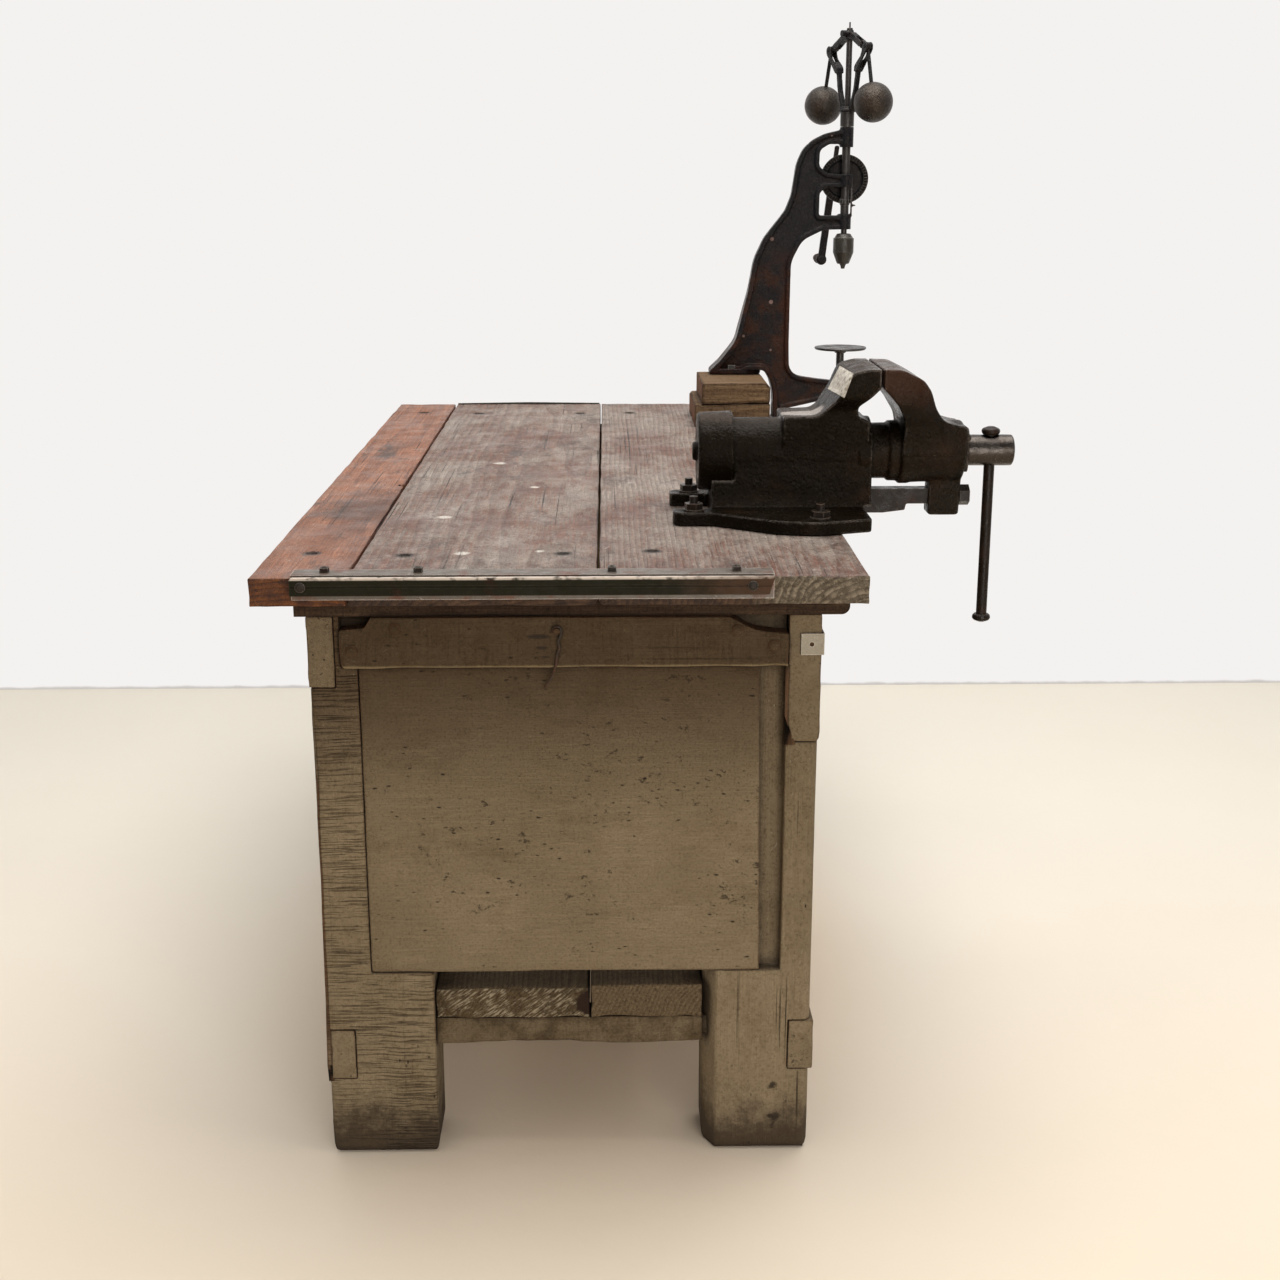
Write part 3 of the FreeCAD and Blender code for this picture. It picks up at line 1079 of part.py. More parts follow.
def make_vise_screw():
    shaft = rod(Vec(SCREW_REAR, VISE_Y, VISE_AXIS_Z), X_AXIS, SCREW_RADIUS, HEAD_REAR - SCREW_REAR)
    collar = rod(Vec(BOSS_FRONT - SCREW_COLLAR_LENGTH, VISE_Y, VISE_AXIS_Z), X_AXIS, SCREW_COLLAR_RADIUS,
                 SCREW_COLLAR_LENGTH - SEAT_GAP)
    head = turned([(0, 0), (0, HEAD_RADIUS - 1), (1.5, HEAD_RADIUS, 1), (HEAD_LENGTH - 2, HEAD_RADIUS, 2),
                   (HEAD_LENGTH, HEAD_RADIUS - 3, 1), (HEAD_LENGTH, 0)], Vec(HEAD_REAR, VISE_Y,
                                                                             VISE_AXIS_Z), X_AXIS)
    cross_hole = rod(Vec(HANDLE_X, VISE_Y, VISE_AXIS_Z - 60), Z_AXIS, HANDLE_RADIUS + HANDLE_CLEARANCE, 120)
    save("vise_screw", fused(shaft, collar, head).cut(cross_hole))


def make_handle():
    """Sliding bar with a pressed knob at each end; it hangs with its top knob on the screw head."""
    top = KNOB_SEAT + SEAT_GAP + KNOB_HEIGHT
    bottom = top - HANDLE_LENGTH
    knob = [(0, 0), (0, KNOB_RADIUS - 3), (2, KNOB_RADIUS - 1, 2), (KNOB_HEIGHT / 2, KNOB_RADIUS, 4),
            (KNOB_HEIGHT - 3, KNOB_RADIUS - 2, 4), (KNOB_HEIGHT, 5, 3), (KNOB_HEIGHT, 0)]
    bar = rod(Vec(HANDLE_X, VISE_Y, bottom + 2), Z_AXIS, HANDLE_RADIUS, HANDLE_LENGTH - 4)
    upper = turned(knob, Vec(HANDLE_X, VISE_Y, top - KNOB_HEIGHT), Z_AXIS)
    lower = turned(knob, Vec(HANDLE_X, VISE_Y, bottom + KNOB_HEIGHT), -Z_AXIS)
    save("handle_bar", fused(bar, upper, lower))


# ---------------------------------------------------------------- bench drill, frame
def frame_outline():
    """Side view of the C-shaped casting, from the toe on the block up and round the throat."""
    pad_out = PAD_X - DRILL_X
    pad_low = PAD_BOTTOM - BLOCK_TOP
    lower = LOWER_BEARING_RISE
    return [(-FOOT_BACK, 0), (-FOOT_BACK, 9, 5), (-252, 30, 22), (-222, 68, 60), (-196, 171, 300),
            (-185, 234, 90),
            (-165, 277, 60), (-123, 330, 50), (-111, 360, 60), (-106, 392, 90), (-102, 422, 70),
            (-89, 452, 50),
            (-69, 470, 50), (-44, 482, 60), (-13, 489), (0, 490), (0, 461), (-35, 461, 12), (-54, 450, 14),
            (-55, 417, 14), (-37, 405, 14), (0, 401), (0, 377), (-41, 376, 14), (-52.5, 365, 10),
            (-53, lower + 28, 3),
            (0, lower + 28), (0, lower), (-43, lower - 1, 40), (-86, lower - 22, 45), (-108, 228, 60),
            (-109, 62, 100),
            (-107, -2, 34), (-59, -10, 60), (0, -17), (0, -48), (-56, -61, 60), (pad_out, -76, 12),
            (pad_out, pad_low, 4),
            (pad_out - 17, pad_low), (-142, -38, 30), (-149, -12, 25), (-161, 9, 16), (-195, 9, 16),
            (-211, 0)]


def side_flange(face):
    """Broad outer flange of the column, widest over the foot and dying out towards the top."""
    skin = face.cut(face.makeOffset2D(-RIM_WIDTH - 1))
    skin.translate(Vec(0, RIM_HALF - FOOT_HALF_WIDTH, 0))
    band = skin.extrude(Vec(0, 2 * FOOT_HALF_WIDTH, 0))
    widths = [(-92, 24), (-18, 26), (7, FOOT_HALF_WIDTH), (52, FOOT_HALF_WIDTH), (112, 26), (182, 17),
              (292, RIM_HALF)]
    near = [(DRILL_Y - half, BLOCK_TOP + rise) for rise, half in widths]
    far = [(DRILL_Y + half, BLOCK_TOP + rise) for rise, half in reversed(widths)]
    return band.common(plate_yz(near + far, FOOT_LEFT - 15, PAD_X + 1))


def guard_strip():
    """Narrow strip in front of the pinion, from the lower bearing to the middle one, with its thumb screw."""
    x0 = DRILL_X + GUARD_OUT - GUARD_WIDTH / 2
    x1 = x0 + GUARD_WIDTH
    y0 = DRILL_Y - SLEEVE_RADIUS - 2 * GUARD_THICK + 0.5
    y1 = y0 + GUARD_THICK
    low = LOWER_BEARING[1] - 4
    high = MIDDLE_BEARING[1]
    strip = box(x0, x1, y0, y1, low, high)
    upper_root = box(x0, x1, y0, DRILL_Y - 5, high - 11, high)
    lower_root = box(x0, x1, y0, DRILL_Y - 5, low - 2, low + 4)
    screw = rod(Vec(x0 + 1, y0 + GUARD_THICK / 2, low + 21), X_AXIS, 2.2, GUARD_WIDTH + 5.5)
    return fused(strip, upper_root, lower_root, screw)


def make_drill_frame():
    face = outline(frame_outline(), on_drill_side)
    face.translate(Vec(0, DRILL_Y - RIM_HALF, 0))
    casting = face.extrude(Vec(0, 2 * RIM_HALF, 0))
    inner = face.makeOffset2D(-RIM_WIDTH)
    depth = RIM_HALF - WEB_HALF
    near_pocket = inner.extrude(Vec(0, depth, 0))
    far_pocket = inner.copy()
    far_pocket.translate(Vec(0, 2 * RIM_HALF - depth, 0))
    far_pocket = far_pocket.extrude(Vec(0, depth, 0))
    casting = casting.cut(near_pocket).cut(far_pocket)
    gear_room = rod(Vec(DRILL_X, DRILL_Y + WEB_HALF, GEAR_Z), Y_AXIS, GEAR_PITCH + 6, 20)
    gear_room = gear_room.cut(rod(Vec(DRILL_X, DRILL_Y, GEAR_Z), Y_AXIS, GEAR_PITCH - 14, 40))
    casting = casting.cut(gear_room)
    foot = plate_xy([(FOOT_LEFT, DRILL_Y - FOOT_HALF_WIDTH, 28), (FOOT_RIGHT, DRILL_Y - FOOT_HALF_WIDTH, 20),
                     (FOOT_RIGHT + 30, DRILL_Y - RIM_HALF, 20), (FOOT_RIGHT + 30, DRILL_Y + RIM_HALF, 20),
                     (FOOT_RIGHT, DRILL_Y + FOOT_HALF_WIDTH, 20), (FOOT_LEFT, DRILL_Y + FOOT_HALF_WIDTH, 28)],
                    BLOCK_TOP, BLOCK_TOP + FOOT_THICK)
    pad = box(PAD_BACK, PAD_X, DRILL_Y - FOOT_HALF_WIDTH, DRILL_Y + FOOT_HALF_WIDTH, PAD_BOTTOM, PAD_TOP)
    bosses = []
    for z0, z1 in (TOP_BEARING, MIDDLE_BEARING, LOWER_BEARING):
        bosses.append(rod(Vec(DRILL_X, DRILL_Y, z0), Z_AXIS, BEARING_RADIUS, z1 - z0))
    table_boss = rod(Vec(DRILL_X, DRILL_Y, TABLE_BOSS[0]), Z_AXIS, TABLE_BOSS_RADIUS, TABLE_BOSS_LENGTH)
    casting = fused(casting, side_flange(face), foot, pad, table_boss, *bosses)
    sleeve_bore = rod(Vec(DRILL_X, DRILL_Y, LOWER_BEARING[0] - 20), Z_AXIS, SLEEVE_RADIUS + SLEEVE_CLEARANCE,
                      TOP_BEARING[1] - LOWER_BEARING[0] + 60)
    stem_bore = rod(Vec(DRILL_X, DRILL_Y, TABLE_BOSS[0] - 20), Z_AXIS, STEM_RADIUS + SLEEVE_CLEARANCE,
                    TABLE_BOSS_LENGTH + 40)
    clamp_hole = rod(Vec(DRILL_X, DRILL_Y - 60, clamp_screw_z()), Y_AXIS, CLAMP_SCREW_RADIUS,
                     60 - STEM_RADIUS)
    stud_hole = rod(Vec(DRILL_X, DRILL_Y + stud_start(), GEAR_Z), Y_AXIS, STUD_RADIUS, 30)
    casting = casting.cut(sleeve_bore).cut(stem_bore).cut(clamp_hole).cut(stud_hole)
    casting = casting.fuse(guard_strip())
    for shank in foot_bolt_shanks() + pad_screw_shanks():
        casting = casting.cut(shank)
    save("drill_frame", casting.removeSplitter())


def stud_start():
    return SLEEVE_RADIUS + 2.0


def clamp_screw_z():
    return (TABLE_BOSS[0] + TABLE_BOSS[1]) / 2


def foot_bolt_shanks():
    """Two lag screws down through the foot and both packing blocks, one on each side of the web."""
    length = BLOCK_TOP + FOOT_THICK - TOP_HEIGHT
    return [rod(Vec(FOOT_BOLT_X, DRILL_Y + y, TOP_HEIGHT), Z_AXIS, LAG_RADIUS, length)
            for y in (-FOOT_BOLT_OUT, FOOT_BOLT_OUT)]


def pad_screw_shanks():
    """Two lag screws through the pad into the edge of the top."""
    z = TOP_HEIGHT - PLANK_THICK / 2
    return [rod(Vec(HALF_WIDTH - LAG_DEEP, DRILL_Y + y, z), X_AXIS, LAG_RADIUS, LAG_DEEP + PAD_X - HALF_WIDTH)
            for y in (-PAD_SCREW_OUT, PAD_SCREW_OUT)]


def make_drill_bolts():
    pieces = []
    for y, shank in zip((-FOOT_BOLT_OUT, FOOT_BOLT_OUT), foot_bolt_shanks()):
        head = prism(Vec(FOOT_BOLT_X, DRILL_Y + y, BLOCK_TOP + FOOT_THICK), Z_AXIS, LAG_HEAD, 7, 4)
        pieces.append(fused(shank, head))
    for y, shank in zip((-PAD_SCREW_OUT, PAD_SCREW_OUT), pad_screw_shanks()):
        head = prism(Vec(PAD_X, DRILL_Y + y, TOP_HEIGHT - PLANK_THICK / 2), X_AXIS, LAG_HEAD, 7, 4)
        pieces.append(fused(shank, head))
    save("drill_bolts", Part.makeCompound(pieces))


def make_table_screw():
    """Thumb screw in the lower arm that clamps the stem of the table."""
    z = clamp_screw_z()
    outer = DRILL_Y - TABLE_BOSS_RADIUS - CLAMP_SCREW_OUT
    shank = rod(Vec(DRILL_X, outer, z), Y_AXIS, CLAMP_SCREW_RADIUS, DRILL_Y - STEM_RADIUS - SEAT_GAP - outer)
    wing = plate_xz([(DRILL_X - 13, z + 6, 5), (DRILL_X - 13, z - 6, 5), (DRILL_X + 13, z - 6, 5),
                     (DRILL_X + 13, z + 6, 5)], outer - 2, outer + 3)
    save("table_screw", fused(shank, wing))


def make_table():
    """Round work table with a hub and a plain stem that slides in the lower arm."""
    profile = [(STEM_BOTTOM, 0), (STEM_BOTTOM, STEM_RADIUS), (TABLE_TOP - TABLE_THICK - TABLE_HUB_HEIGHT,
                                                              STEM_RADIUS),
               (TABLE_TOP - TABLE_THICK - TABLE_HUB_HEIGHT, TABLE_HUB_RADIUS),
               (TABLE_TOP - TABLE_THICK, TABLE_HUB_RADIUS + 3, 3), (TABLE_TOP - TABLE_THICK + 1,
                                                                    TABLE_RADIUS - 2, 2),
               (TABLE_TOP - 2, TABLE_RADIUS, 1), (TABLE_TOP, TABLE_RADIUS - 1), (TABLE_TOP, 0)]
    save("drill_table", turned(profile, Vec(DRILL_X, DRILL_Y, 0), Z_AXIS))


# ---------------------------------------------------------------- bevel gears and crank
def tooth(angle, pitch, apex_gap, face, module, share):
    """One straight bevel tooth; the gear turns about local Z and its pitch cone has its apex at 0."""
    cone = math.hypot(pitch, apex_gap)
    ends = []
    for scale in (1.0, (cone - face) / cone):
        radius = pitch * scale
        height = apex_gap * scale
        outward = Vec(apex_gap / cone, 0, -pitch / cone)
        centre = Vec(radius, 0, height)
        half = math.pi * module * share * scale / 2
        low = centre + outward * (TOOTH_TIP * module * scale)
        high = centre - outward * (TOOTH_ROOT * module * scale)
        ends.append([low + Vec(0, -half * 0.72, 0), low + Vec(0, half * 0.72, 0),
                     high + Vec(0, half * 1.25, 0), high + Vec(0, -half * 1.25, 0)])
    wires = [Part.makePolygon(end + [end[0]]) for end in ends]
    solid = Part.makeLoft(wires, True, True)
    solid.rotate(Vec(0, 0, 0), Z_AXIS, angle)
    return solid


def bevel_wheel(count, apex_gap, blank, phase):
    pitch = count * TOOTH_MODULE / 2
    teeth = [tooth(phase + i * 360.0 / count, pitch, apex_gap, GEAR_FACE, TOOTH_MODULE, TOOTH_SHARE)
             for i in range(count)]
    return fused(blank, *teeth)


def gear_blank():
    """Dished wheel: toothed rim facing the spindle, thin web behind it and a long hub."""
    rim_back = PINION_PITCH + 5.5
    profile = [(rim_back - 3.2, GEAR_PITCH + 0.8), (rim_back + 3, GEAR_PITCH + 0.8, 1),
               (GEAR_WEB_Y + 6, GEAR_PITCH - 8, 4), (GEAR_WEB_Y + 6, GEAR_HUB_RADIUS, 3),
               (GEAR_HUB_Y, GEAR_HUB_RADIUS),
               (GEAR_HUB_Y + 4, CRANK_TUBE_RADIUS), (CRANK_Y, CRANK_TUBE_RADIUS),
               (CRANK_Y, STUD_RADIUS + STUD_CLEARANCE), (GEAR_WEB_Y, STUD_RADIUS + STUD_CLEARANCE),
               (GEAR_WEB_Y, GEAR_PITCH - 12, 4),
               (rim_back - 4.6, GEAR_PITCH - 9.4)]
    return turned(profile, Vec(0, 0, 0), Z_AXIS)


def make_gear():
    gear = bevel_wheel(GEAR_TEETH, PINION_PITCH, gear_blank(), 180.0 / GEAR_TEETH)
    gear.Placement = FreeCAD.Placement(Vec(DRILL_X, DRILL_Y, GEAR_Z), FreeCAD.Rotation(X_AXIS, -90))
    save("bevel_gear", gear)
    stud = rod(Vec(DRILL_X, DRILL_Y + stud_start(), GEAR_Z), Y_AXIS, STUD_RADIUS,
               CRANK_FAR + 2 * SEAT_GAP - stud_start())
    washer = rod(Vec(DRILL_X, DRILL_Y + CRANK_FAR + SEAT_GAP, GEAR_Z), Y_AXIS, 10, 3)
    end = prism(Vec(DRILL_X, DRILL_Y + CRANK_FAR + SEAT_GAP + 3, GEAR_Z), Y_AXIS, 13, 6, 4)
    save("gear_stud", fused(stud, washer, end))


def crank_end():
    return Vec(DRILL_X + CRANK_REACH_X, DRILL_Y, GEAR_Z + CRANK_REACH_Z)


def make_crank():
    """Crank arm on the end of the gear's long hub, and the free-turning handle on its pin."""
    y0 = DRILL_Y + CRANK_Y
    half = CRANK_HALF_WIDTH
    end_x = CRANK_REACH_X
    end_z = CRANK_REACH_Z
    tail_x = -CRANK_TAIL * end_x
    tail_z = -CRANK_TAIL * end_z
    tail = CRANK_TAIL_HALF_WIDTH
    corners = [(tail_x + tail, tail_z, 4), (tail, 0), (half, 0), (end_x + half, end_z),
               (end_x - half, end_z), (-half, 0), (-tail, 0), (tail_x - tail, tail_z, 4)]
    placed = [(DRILL_X + corner[0], GEAR_Z + corner[1]) + corner[2:] for corner in corners]
    arm = plate_xz(placed, y0, y0 + CRANK_THICK)
    end = crank_end()
    pin_length = CRANK_HANDLE_LENGTH + 1.5
    arm = fused(arm, rod(Vec(DRILL_X, y0, GEAR_Z), Y_AXIS, GEAR_HUB_RADIUS + 2, CRANK_THICK),
                rod(end + Vec(0, CRANK_Y, 0), Y_AXIS, 11.5, CRANK_THICK),
                rod(end + Vec(0, CRANK_Y - 2, 0), Y_AXIS, 7, 2 + CRANK_THICK),
                rod(end + Vec(0, CRANK_FAR, 0), Y_AXIS, CRANK_PIN_RADIUS, pin_length),
                rod(end + Vec(0, CRANK_FAR + pin_length, 0), Y_AXIS, CRANK_PIN_RADIUS + 2, 2))
    arm = arm.cut(rod(Vec(DRILL_X, y0 - 1, GEAR_Z), Y_AXIS, STUD_RADIUS + STUD_CLEARANCE, 20))
    save("crank_arm", arm)
    bore = CRANK_PIN_RADIUS + SPINDLE_CLEARANCE
    grip = turned([(0, bore), (0, 8), (10, 9, 10), (45, CRANK_HANDLE_RADIUS, 60),
                   (CRANK_HANDLE_LENGTH - 8, 8.5, 20),
                   (CRANK_HANDLE_LENGTH, 7.5, 3), (CRANK_HANDLE_LENGTH, bore)],
                  end + Vec(0, CRANK_FAR + 0.5, 0), Y_AXIS)
    save("crank_handle", grip)


# ---------------------------------------------------------------- spindle, governor and chuck
def at_spindle(shape, angle):
    """Turn a shape drawn about the Z axis and set it on the spindle."""
    placed = shape.copy()
    placed.rotate(Vec(0, 0, 0), Z_AXIS, angle)
    placed.translate(Vec(DRILL_X, DRILL_Y, 0))
    return placed


def make_sleeve():
    """Driven sleeve: bevel pinion below the middle bearing and a thrust hub above the top one."""
    hub_bottom = TOP_BEARING[1] + SEAT_GAP
    bottom = LOWER_BEARING[0]
    profile = [(bottom, SPINDLE_RADIUS + SPINDLE_CLEARANCE), (bottom, SLEEVE_RADIUS),
               (hub_bottom, SLEEVE_RADIUS), (hub_bottom, THRUST_HUB_RADIUS), (THRUST_HUB_TOP,
                                                                              THRUST_HUB_RADIUS),
               (THRUST_HUB_TOP, SPINDLE_RADIUS + SPINDLE_CLEARANCE)]
    sleeve = turned(profile, Vec(0, 0, 0), Z_AXIS)
    blank = turned([(-GEAR_PITCH - 4.0, SLEEVE_RADIUS - 1), (-GEAR_PITCH - 4.0, PINION_PITCH - 2.5),
                    (-GEAR_PITCH - 0.5, PINION_PITCH - 1.7), (-GEAR_PITCH + 7.7, PINION_PITCH - 3.2),
                    (-GEAR_PITCH + 7.7, SLEEVE_RADIUS - 1)], Vec(0, 0, 0), Z_AXIS)
    teeth = []
    for i in range(PINION_TEETH):
        one = tooth(90.0 + i * 360.0 / PINION_TEETH, PINION_PITCH, GEAR_PITCH, GEAR_FACE, TOOTH_MODULE,
                    TOOTH_SHARE)
        teeth.append(one.mirror(Vec(0, 0, 0), Z_AXIS))
    pinion = fused(blank, *teeth)
    pinion = pinion.cut(rod(Vec(0, 0, -100), Z_AXIS, SPINDLE_RADIUS + SPINDLE_CLEARANCE, 200))
    pinion.translate(Vec(0, 0, GEAR_Z))
    save("spindle_sleeve", at_spindle(fused(sleeve, pinion), 0))


def v_arm():
    """One forged arm of the carrier, in the plane of its ball: a curved stem and a stout fork."""
    foot = -FORK_RISE
    stem = [(8 - FORK_R, foot), (18 - FORK_R, foot), (22 - FORK_R, foot + 13, 20), (-36, -81, 40),
            (-31, -55, 40),
            (-28, -40, 10), (-37, -37), (-38.5, -54, 40), (-43.5, -79, 40), (15 - FORK_R, foot + 16, 20)]
    fork = [(-38, -45), (-30, -47, 6), (-16, -32, 20), (-4, -19, 20), (7, -8, 8), (9, 3, 8), (0, 10, 9),
            (-9, 4, 6),
            (-10.5, -8, 10), (-15, -17, 10), (-27, -26, 20), (-37, -35, 8)]
    stem = plate_xz(stem, -STEM_HALF, STEM_HALF, on_fork_side)
    fork = plate_xz(fork, -FORK_HALF, FORK_HALF, on_fork_side)
    slot = box(FORK_R - 23, FORK_R + 20, -LEVER_HALF - FORK_GAP, LEVER_HALF + FORK_GAP, FORK_Z - 43,
               FORK_Z + 20)
    pin = rod(Vec(FORK_R, -FORK_HALF - 1.5, FORK_Z), Y_AXIS, ARM_PIN_RADIUS, 2 * FORK_HALF + 3)
    return fused(stem, fork.cut(slot), pin)


def make_carrier():
    arms = []
    for angle in (GOVERNOR_TURN, GOVERNOR_TURN + 180):
        arm = v_arm()
        arm.rotate(Vec(0, 0, 0), Z_AXIS, angle)
        arms.append(arm)
    ring = turned([(THRUST_HUB_TOP, SPINDLE_RADIUS + SPINDLE_CLEARANCE), (THRUST_HUB_TOP, 17),
                   (THRUST_HUB_TOP + 4, 17, 1),
                   (THRUST_HUB_TOP + 12, 12, 4), (THRUST_HUB_TOP + 12, SPINDLE_RADIUS + SPINDLE_CLEARANCE)],
                  Vec(0, 0, 0), Z_AXIS)
    carrier = fused(ring, *arms)
    carrier = carrier.cut(rod(Vec(0, 0, THRUST_HUB_TOP - 1), Z_AXIS, SPINDLE_RADIUS + SPINDLE_CLEARANCE, 40))
    save("ball_carrier", at_spindle(carrier, 0))


def ball_lever():
    """Bell-crank: rod down to the ball, slotted ear in towards the crosshead."""
    hub = rod(Vec(FORK_R, -LEVER_HALF, FORK_Z), Y_AXIS, 8, 2 * LEVER_HALF)
    ear_end = Vec(FORK_R + EAR_IN, -LEVER_HALF, FORK_Z + EAR_UP)
    ear = rod(ear_end, Y_AXIS, EAR_RADIUS, 2 * LEVER_HALF)
    link = plate_xz([(0, 6.5), (EAR_IN, EAR_UP + 7), (EAR_IN, EAR_UP - 7), (0, -6.5)], -LEVER_HALF,
                    LEVER_HALF, on_fork_side)
    start = Vec(FORK_R, 0, FORK_Z)
    run = Vec(BALL_R, 0, BALL_Z) - start
    stem = rod(start, run, BALL_ROD_RADIUS, run.Length - BALL_RADIUS + 6)
    lever = fused(hub, ear, link, stem)
    lever = lever.cut(rod(Vec(FORK_R, -20, FORK_Z), Y_AXIS, ARM_PIN_RADIUS + 0.05, 40))
    slot_limit = box(FORK_R - 60, FORK_R + 60, -20, -LEVER_HALF, FORK_Z - 60, FORK_Z + 60)
    return lever.cut(rod(ear_end - Y_AXIS * 10, Y_AXIS, SLOT_RADIUS, 40)).cut(slot_limit)


def fly_ball():
    start = Vec(FORK_R, 0, FORK_Z)
    run = Vec(BALL_R, 0, BALL_Z) - start
    ball = Part.makeSphere(BALL_RADIUS, Vec(BALL_R, 0, BALL_Z))
    return ball.cut(rod(start, run, BALL_ROD_RADIUS, run.Length - BALL_RADIUS + 6))


def crosshead():
    """Forged yoke on top of the spindle; each arm is a fork with a pin in a lever's slotted ear."""
    end_r = FORK_R + EAR_IN
    end_z = FORK_Z + EAR_UP
    hub = rod(Vec(0, 0, CROSSHEAD_Z - CROSSHEAD_HALF_HEIGHT), Z_AXIS, CROSSHEAD_RADIUS,
              2 * CROSSHEAD_HALF_HEIGHT)
    half = CROSSHEAD_FORK_HALF
    pieces = []
    for angle in (GOVERNOR_TURN, GOVERNOR_TURN + 180):
        solid = plate_xz([(0, CROSSHEAD_Z + 7), (14, CROSSHEAD_Z + 5, 6), (end_r + 4, end_z + 5, 5),
                          (end_r + 4, end_z - 4.5, 4),
                          (end_r - 6, end_z - 4.5, 4), (16, CROSSHEAD_Z - 9, 10), (0, CROSSHEAD_Z - 7)],
                          -half, half)
        slot = box(end_r - EAR_RADIUS - 14, end_r + 30, -LEVER_HALF - 0.5, LEVER_HALF + 0.5, end_z - 30,
                   CROSSHEAD_Z + 20)
        pin = rod(Vec(end_r, -half - 1, end_z), Y_AXIS, CROSSHEAD_PIN_RADIUS, 2 * half + 2)
        arm = solid.cut(slot).fuse(pin)
        arm.rotate(Vec(0, 0, 0), Z_AXIS, angle)
        pieces.append(arm)
    boss = rod(Vec(0, 0, CROSSHEAD_Z + 3), Vec(0, -1, 0), 6.5, CROSSHEAD_RADIUS + 11)
    boss.rotate(Vec(0, 0, 0), Z_AXIS, GOVERNOR_TURN)
    yoke = fused(hub, boss, *pieces)
    return yoke.cut(rod(Vec(0, 0, CROSSHEAD_Z - 40), Z_AXIS, SPINDLE_RADIUS, 80))


def make_governor():
    for name, angle in (("right", GOVERNOR_TURN), ("left", GOVERNOR_TURN + 180)):
        save("ball_lever_" + name, at_spindle(ball_lever(), angle))
        save("fly_ball_" + name, at_spindle(fly_ball(), angle))
    save("crosshead", at_spindle(crosshead(), 0))


def make_spindle():
    top = CROSSHEAD_Z + CROSSHEAD_HALF_HEIGHT + 4
    profile = [(CHUCK_TOP - 4, 0), (CHUCK_TOP - 4, SPINDLE_RADIUS), (top, SPINDLE_RADIUS, 2),
               (top, TIP_RADIUS),
               (top + TIP_LENGTH, TIP_RADIUS, 1), (top + TIP_LENGTH, 0)]
    save("spindle", at_spindle(turned(profile, Vec(0, 0, 0), Z_AXIS), 0))


def make_chuck():
    jaw_top = NOSE_Z + 14
    core_bottom = jaw_top + 9
    cap_bottom = CHUCK_SHOULDER + SEAT_GAP
    body = turned([(core_bottom, 0), (core_bottom, CHUCK_CORE_RADIUS), (cap_bottom, CHUCK_CORE_RADIUS),
                   (cap_bottom, CHUCK_RADIUS - 2.5), (CHUCK_TOP - 1, CHUCK_RADIUS - 7, 2),
                   (CHUCK_TOP, SPINDLE_RADIUS + 3, 1),
                   (CHUCK_TOP, SPINDLE_RADIUS), (CHUCK_TOP - 4, SPINDLE_RADIUS), (CHUCK_TOP - 4, 0)],
                   Vec(0, 0, 0), Z_AXIS)
    save("chuck_body", at_spindle(body, 0))
    bore = CHUCK_CORE_RADIUS + SPINDLE_CLEARANCE
    sleeve = turned([(NOSE_Z, bore), (NOSE_Z, NOSE_RADIUS - 1.5), (NOSE_Z + 2, NOSE_RADIUS, 1),
                     (CHUCK_WAIST - 4, CHUCK_RADIUS - 1.5, 6),
                     (CHUCK_WAIST, CHUCK_RADIUS, 1), (CHUCK_SHOULDER - 1.5, CHUCK_RADIUS, 1.5),
                     (CHUCK_SHOULDER, CHUCK_RADIUS - 2.5, 1), (CHUCK_SHOULDER, bore)], Vec(0, 0, 0), Z_AXIS)
    save("chuck_sleeve", at_spindle(sleeve, 0))
    jaws = turned([(JAW_TIP_Z, 0.9), (JAW_TIP_Z, CHUCK_TIP_RADIUS - 1.4), (JAW_TIP_Z + 6,
                                                                           CHUCK_TIP_RADIUS, 2),
                   (NOSE_Z + 2, CHUCK_JAW_RADIUS, 1), (jaw_top, CHUCK_JAW_RADIUS), (jaw_top, 0.9)],
                  Vec(0, 0, 0), Z_AXIS)
    for i in range(3):
        gap = box(-0.4, 30, -0.4, 0.4, JAW_TIP_Z - 1, jaw_top + 1)
        gap.rotate(Vec(0, 0, 0), Z_AXIS, 30 + i * 120)
        jaws = jaws.cut(gap)
    save("chuck_jaws", at_spindle(jaws, 0))


def main():
    os.makedirs("parts", exist_ok=True)
    make_top()
    make_bars()
    make_far_strip()
    make_base()
    make_strap()
    make_hook()
    save("end_fasteners", Part.makeCompound(apron_fasteners() + strap_screws() + [hook_nail()]))
    make_blocks()
    make_vise_body()
    make_vise_cap()
    make_vise_nut()
    save("vise_bolts", Part.makeCompound([vise_bolt(x, y) for x, y in VISE_BOLTS]))
    make_moving_jaw()
    make_guide_bar()
    make_retainer()
    make_vise_screw()
    make_handle()
    make_drill_frame()
    make_drill_bolts()
    make_table_screw()
    make_table()
    make_gear()
    make_crank()
    make_sleeve()
    make_carrier()
    make_governor()
    make_spindle()
    make_chuck()


main()
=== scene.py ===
"""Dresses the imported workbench, its vise and its bench drill in wood, paint and iron, in a lit studio."""

import json
import math

import bmesh
import bpy
from mathutils import Euler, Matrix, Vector, noise
from mathutils.bvhtree import BVHTree


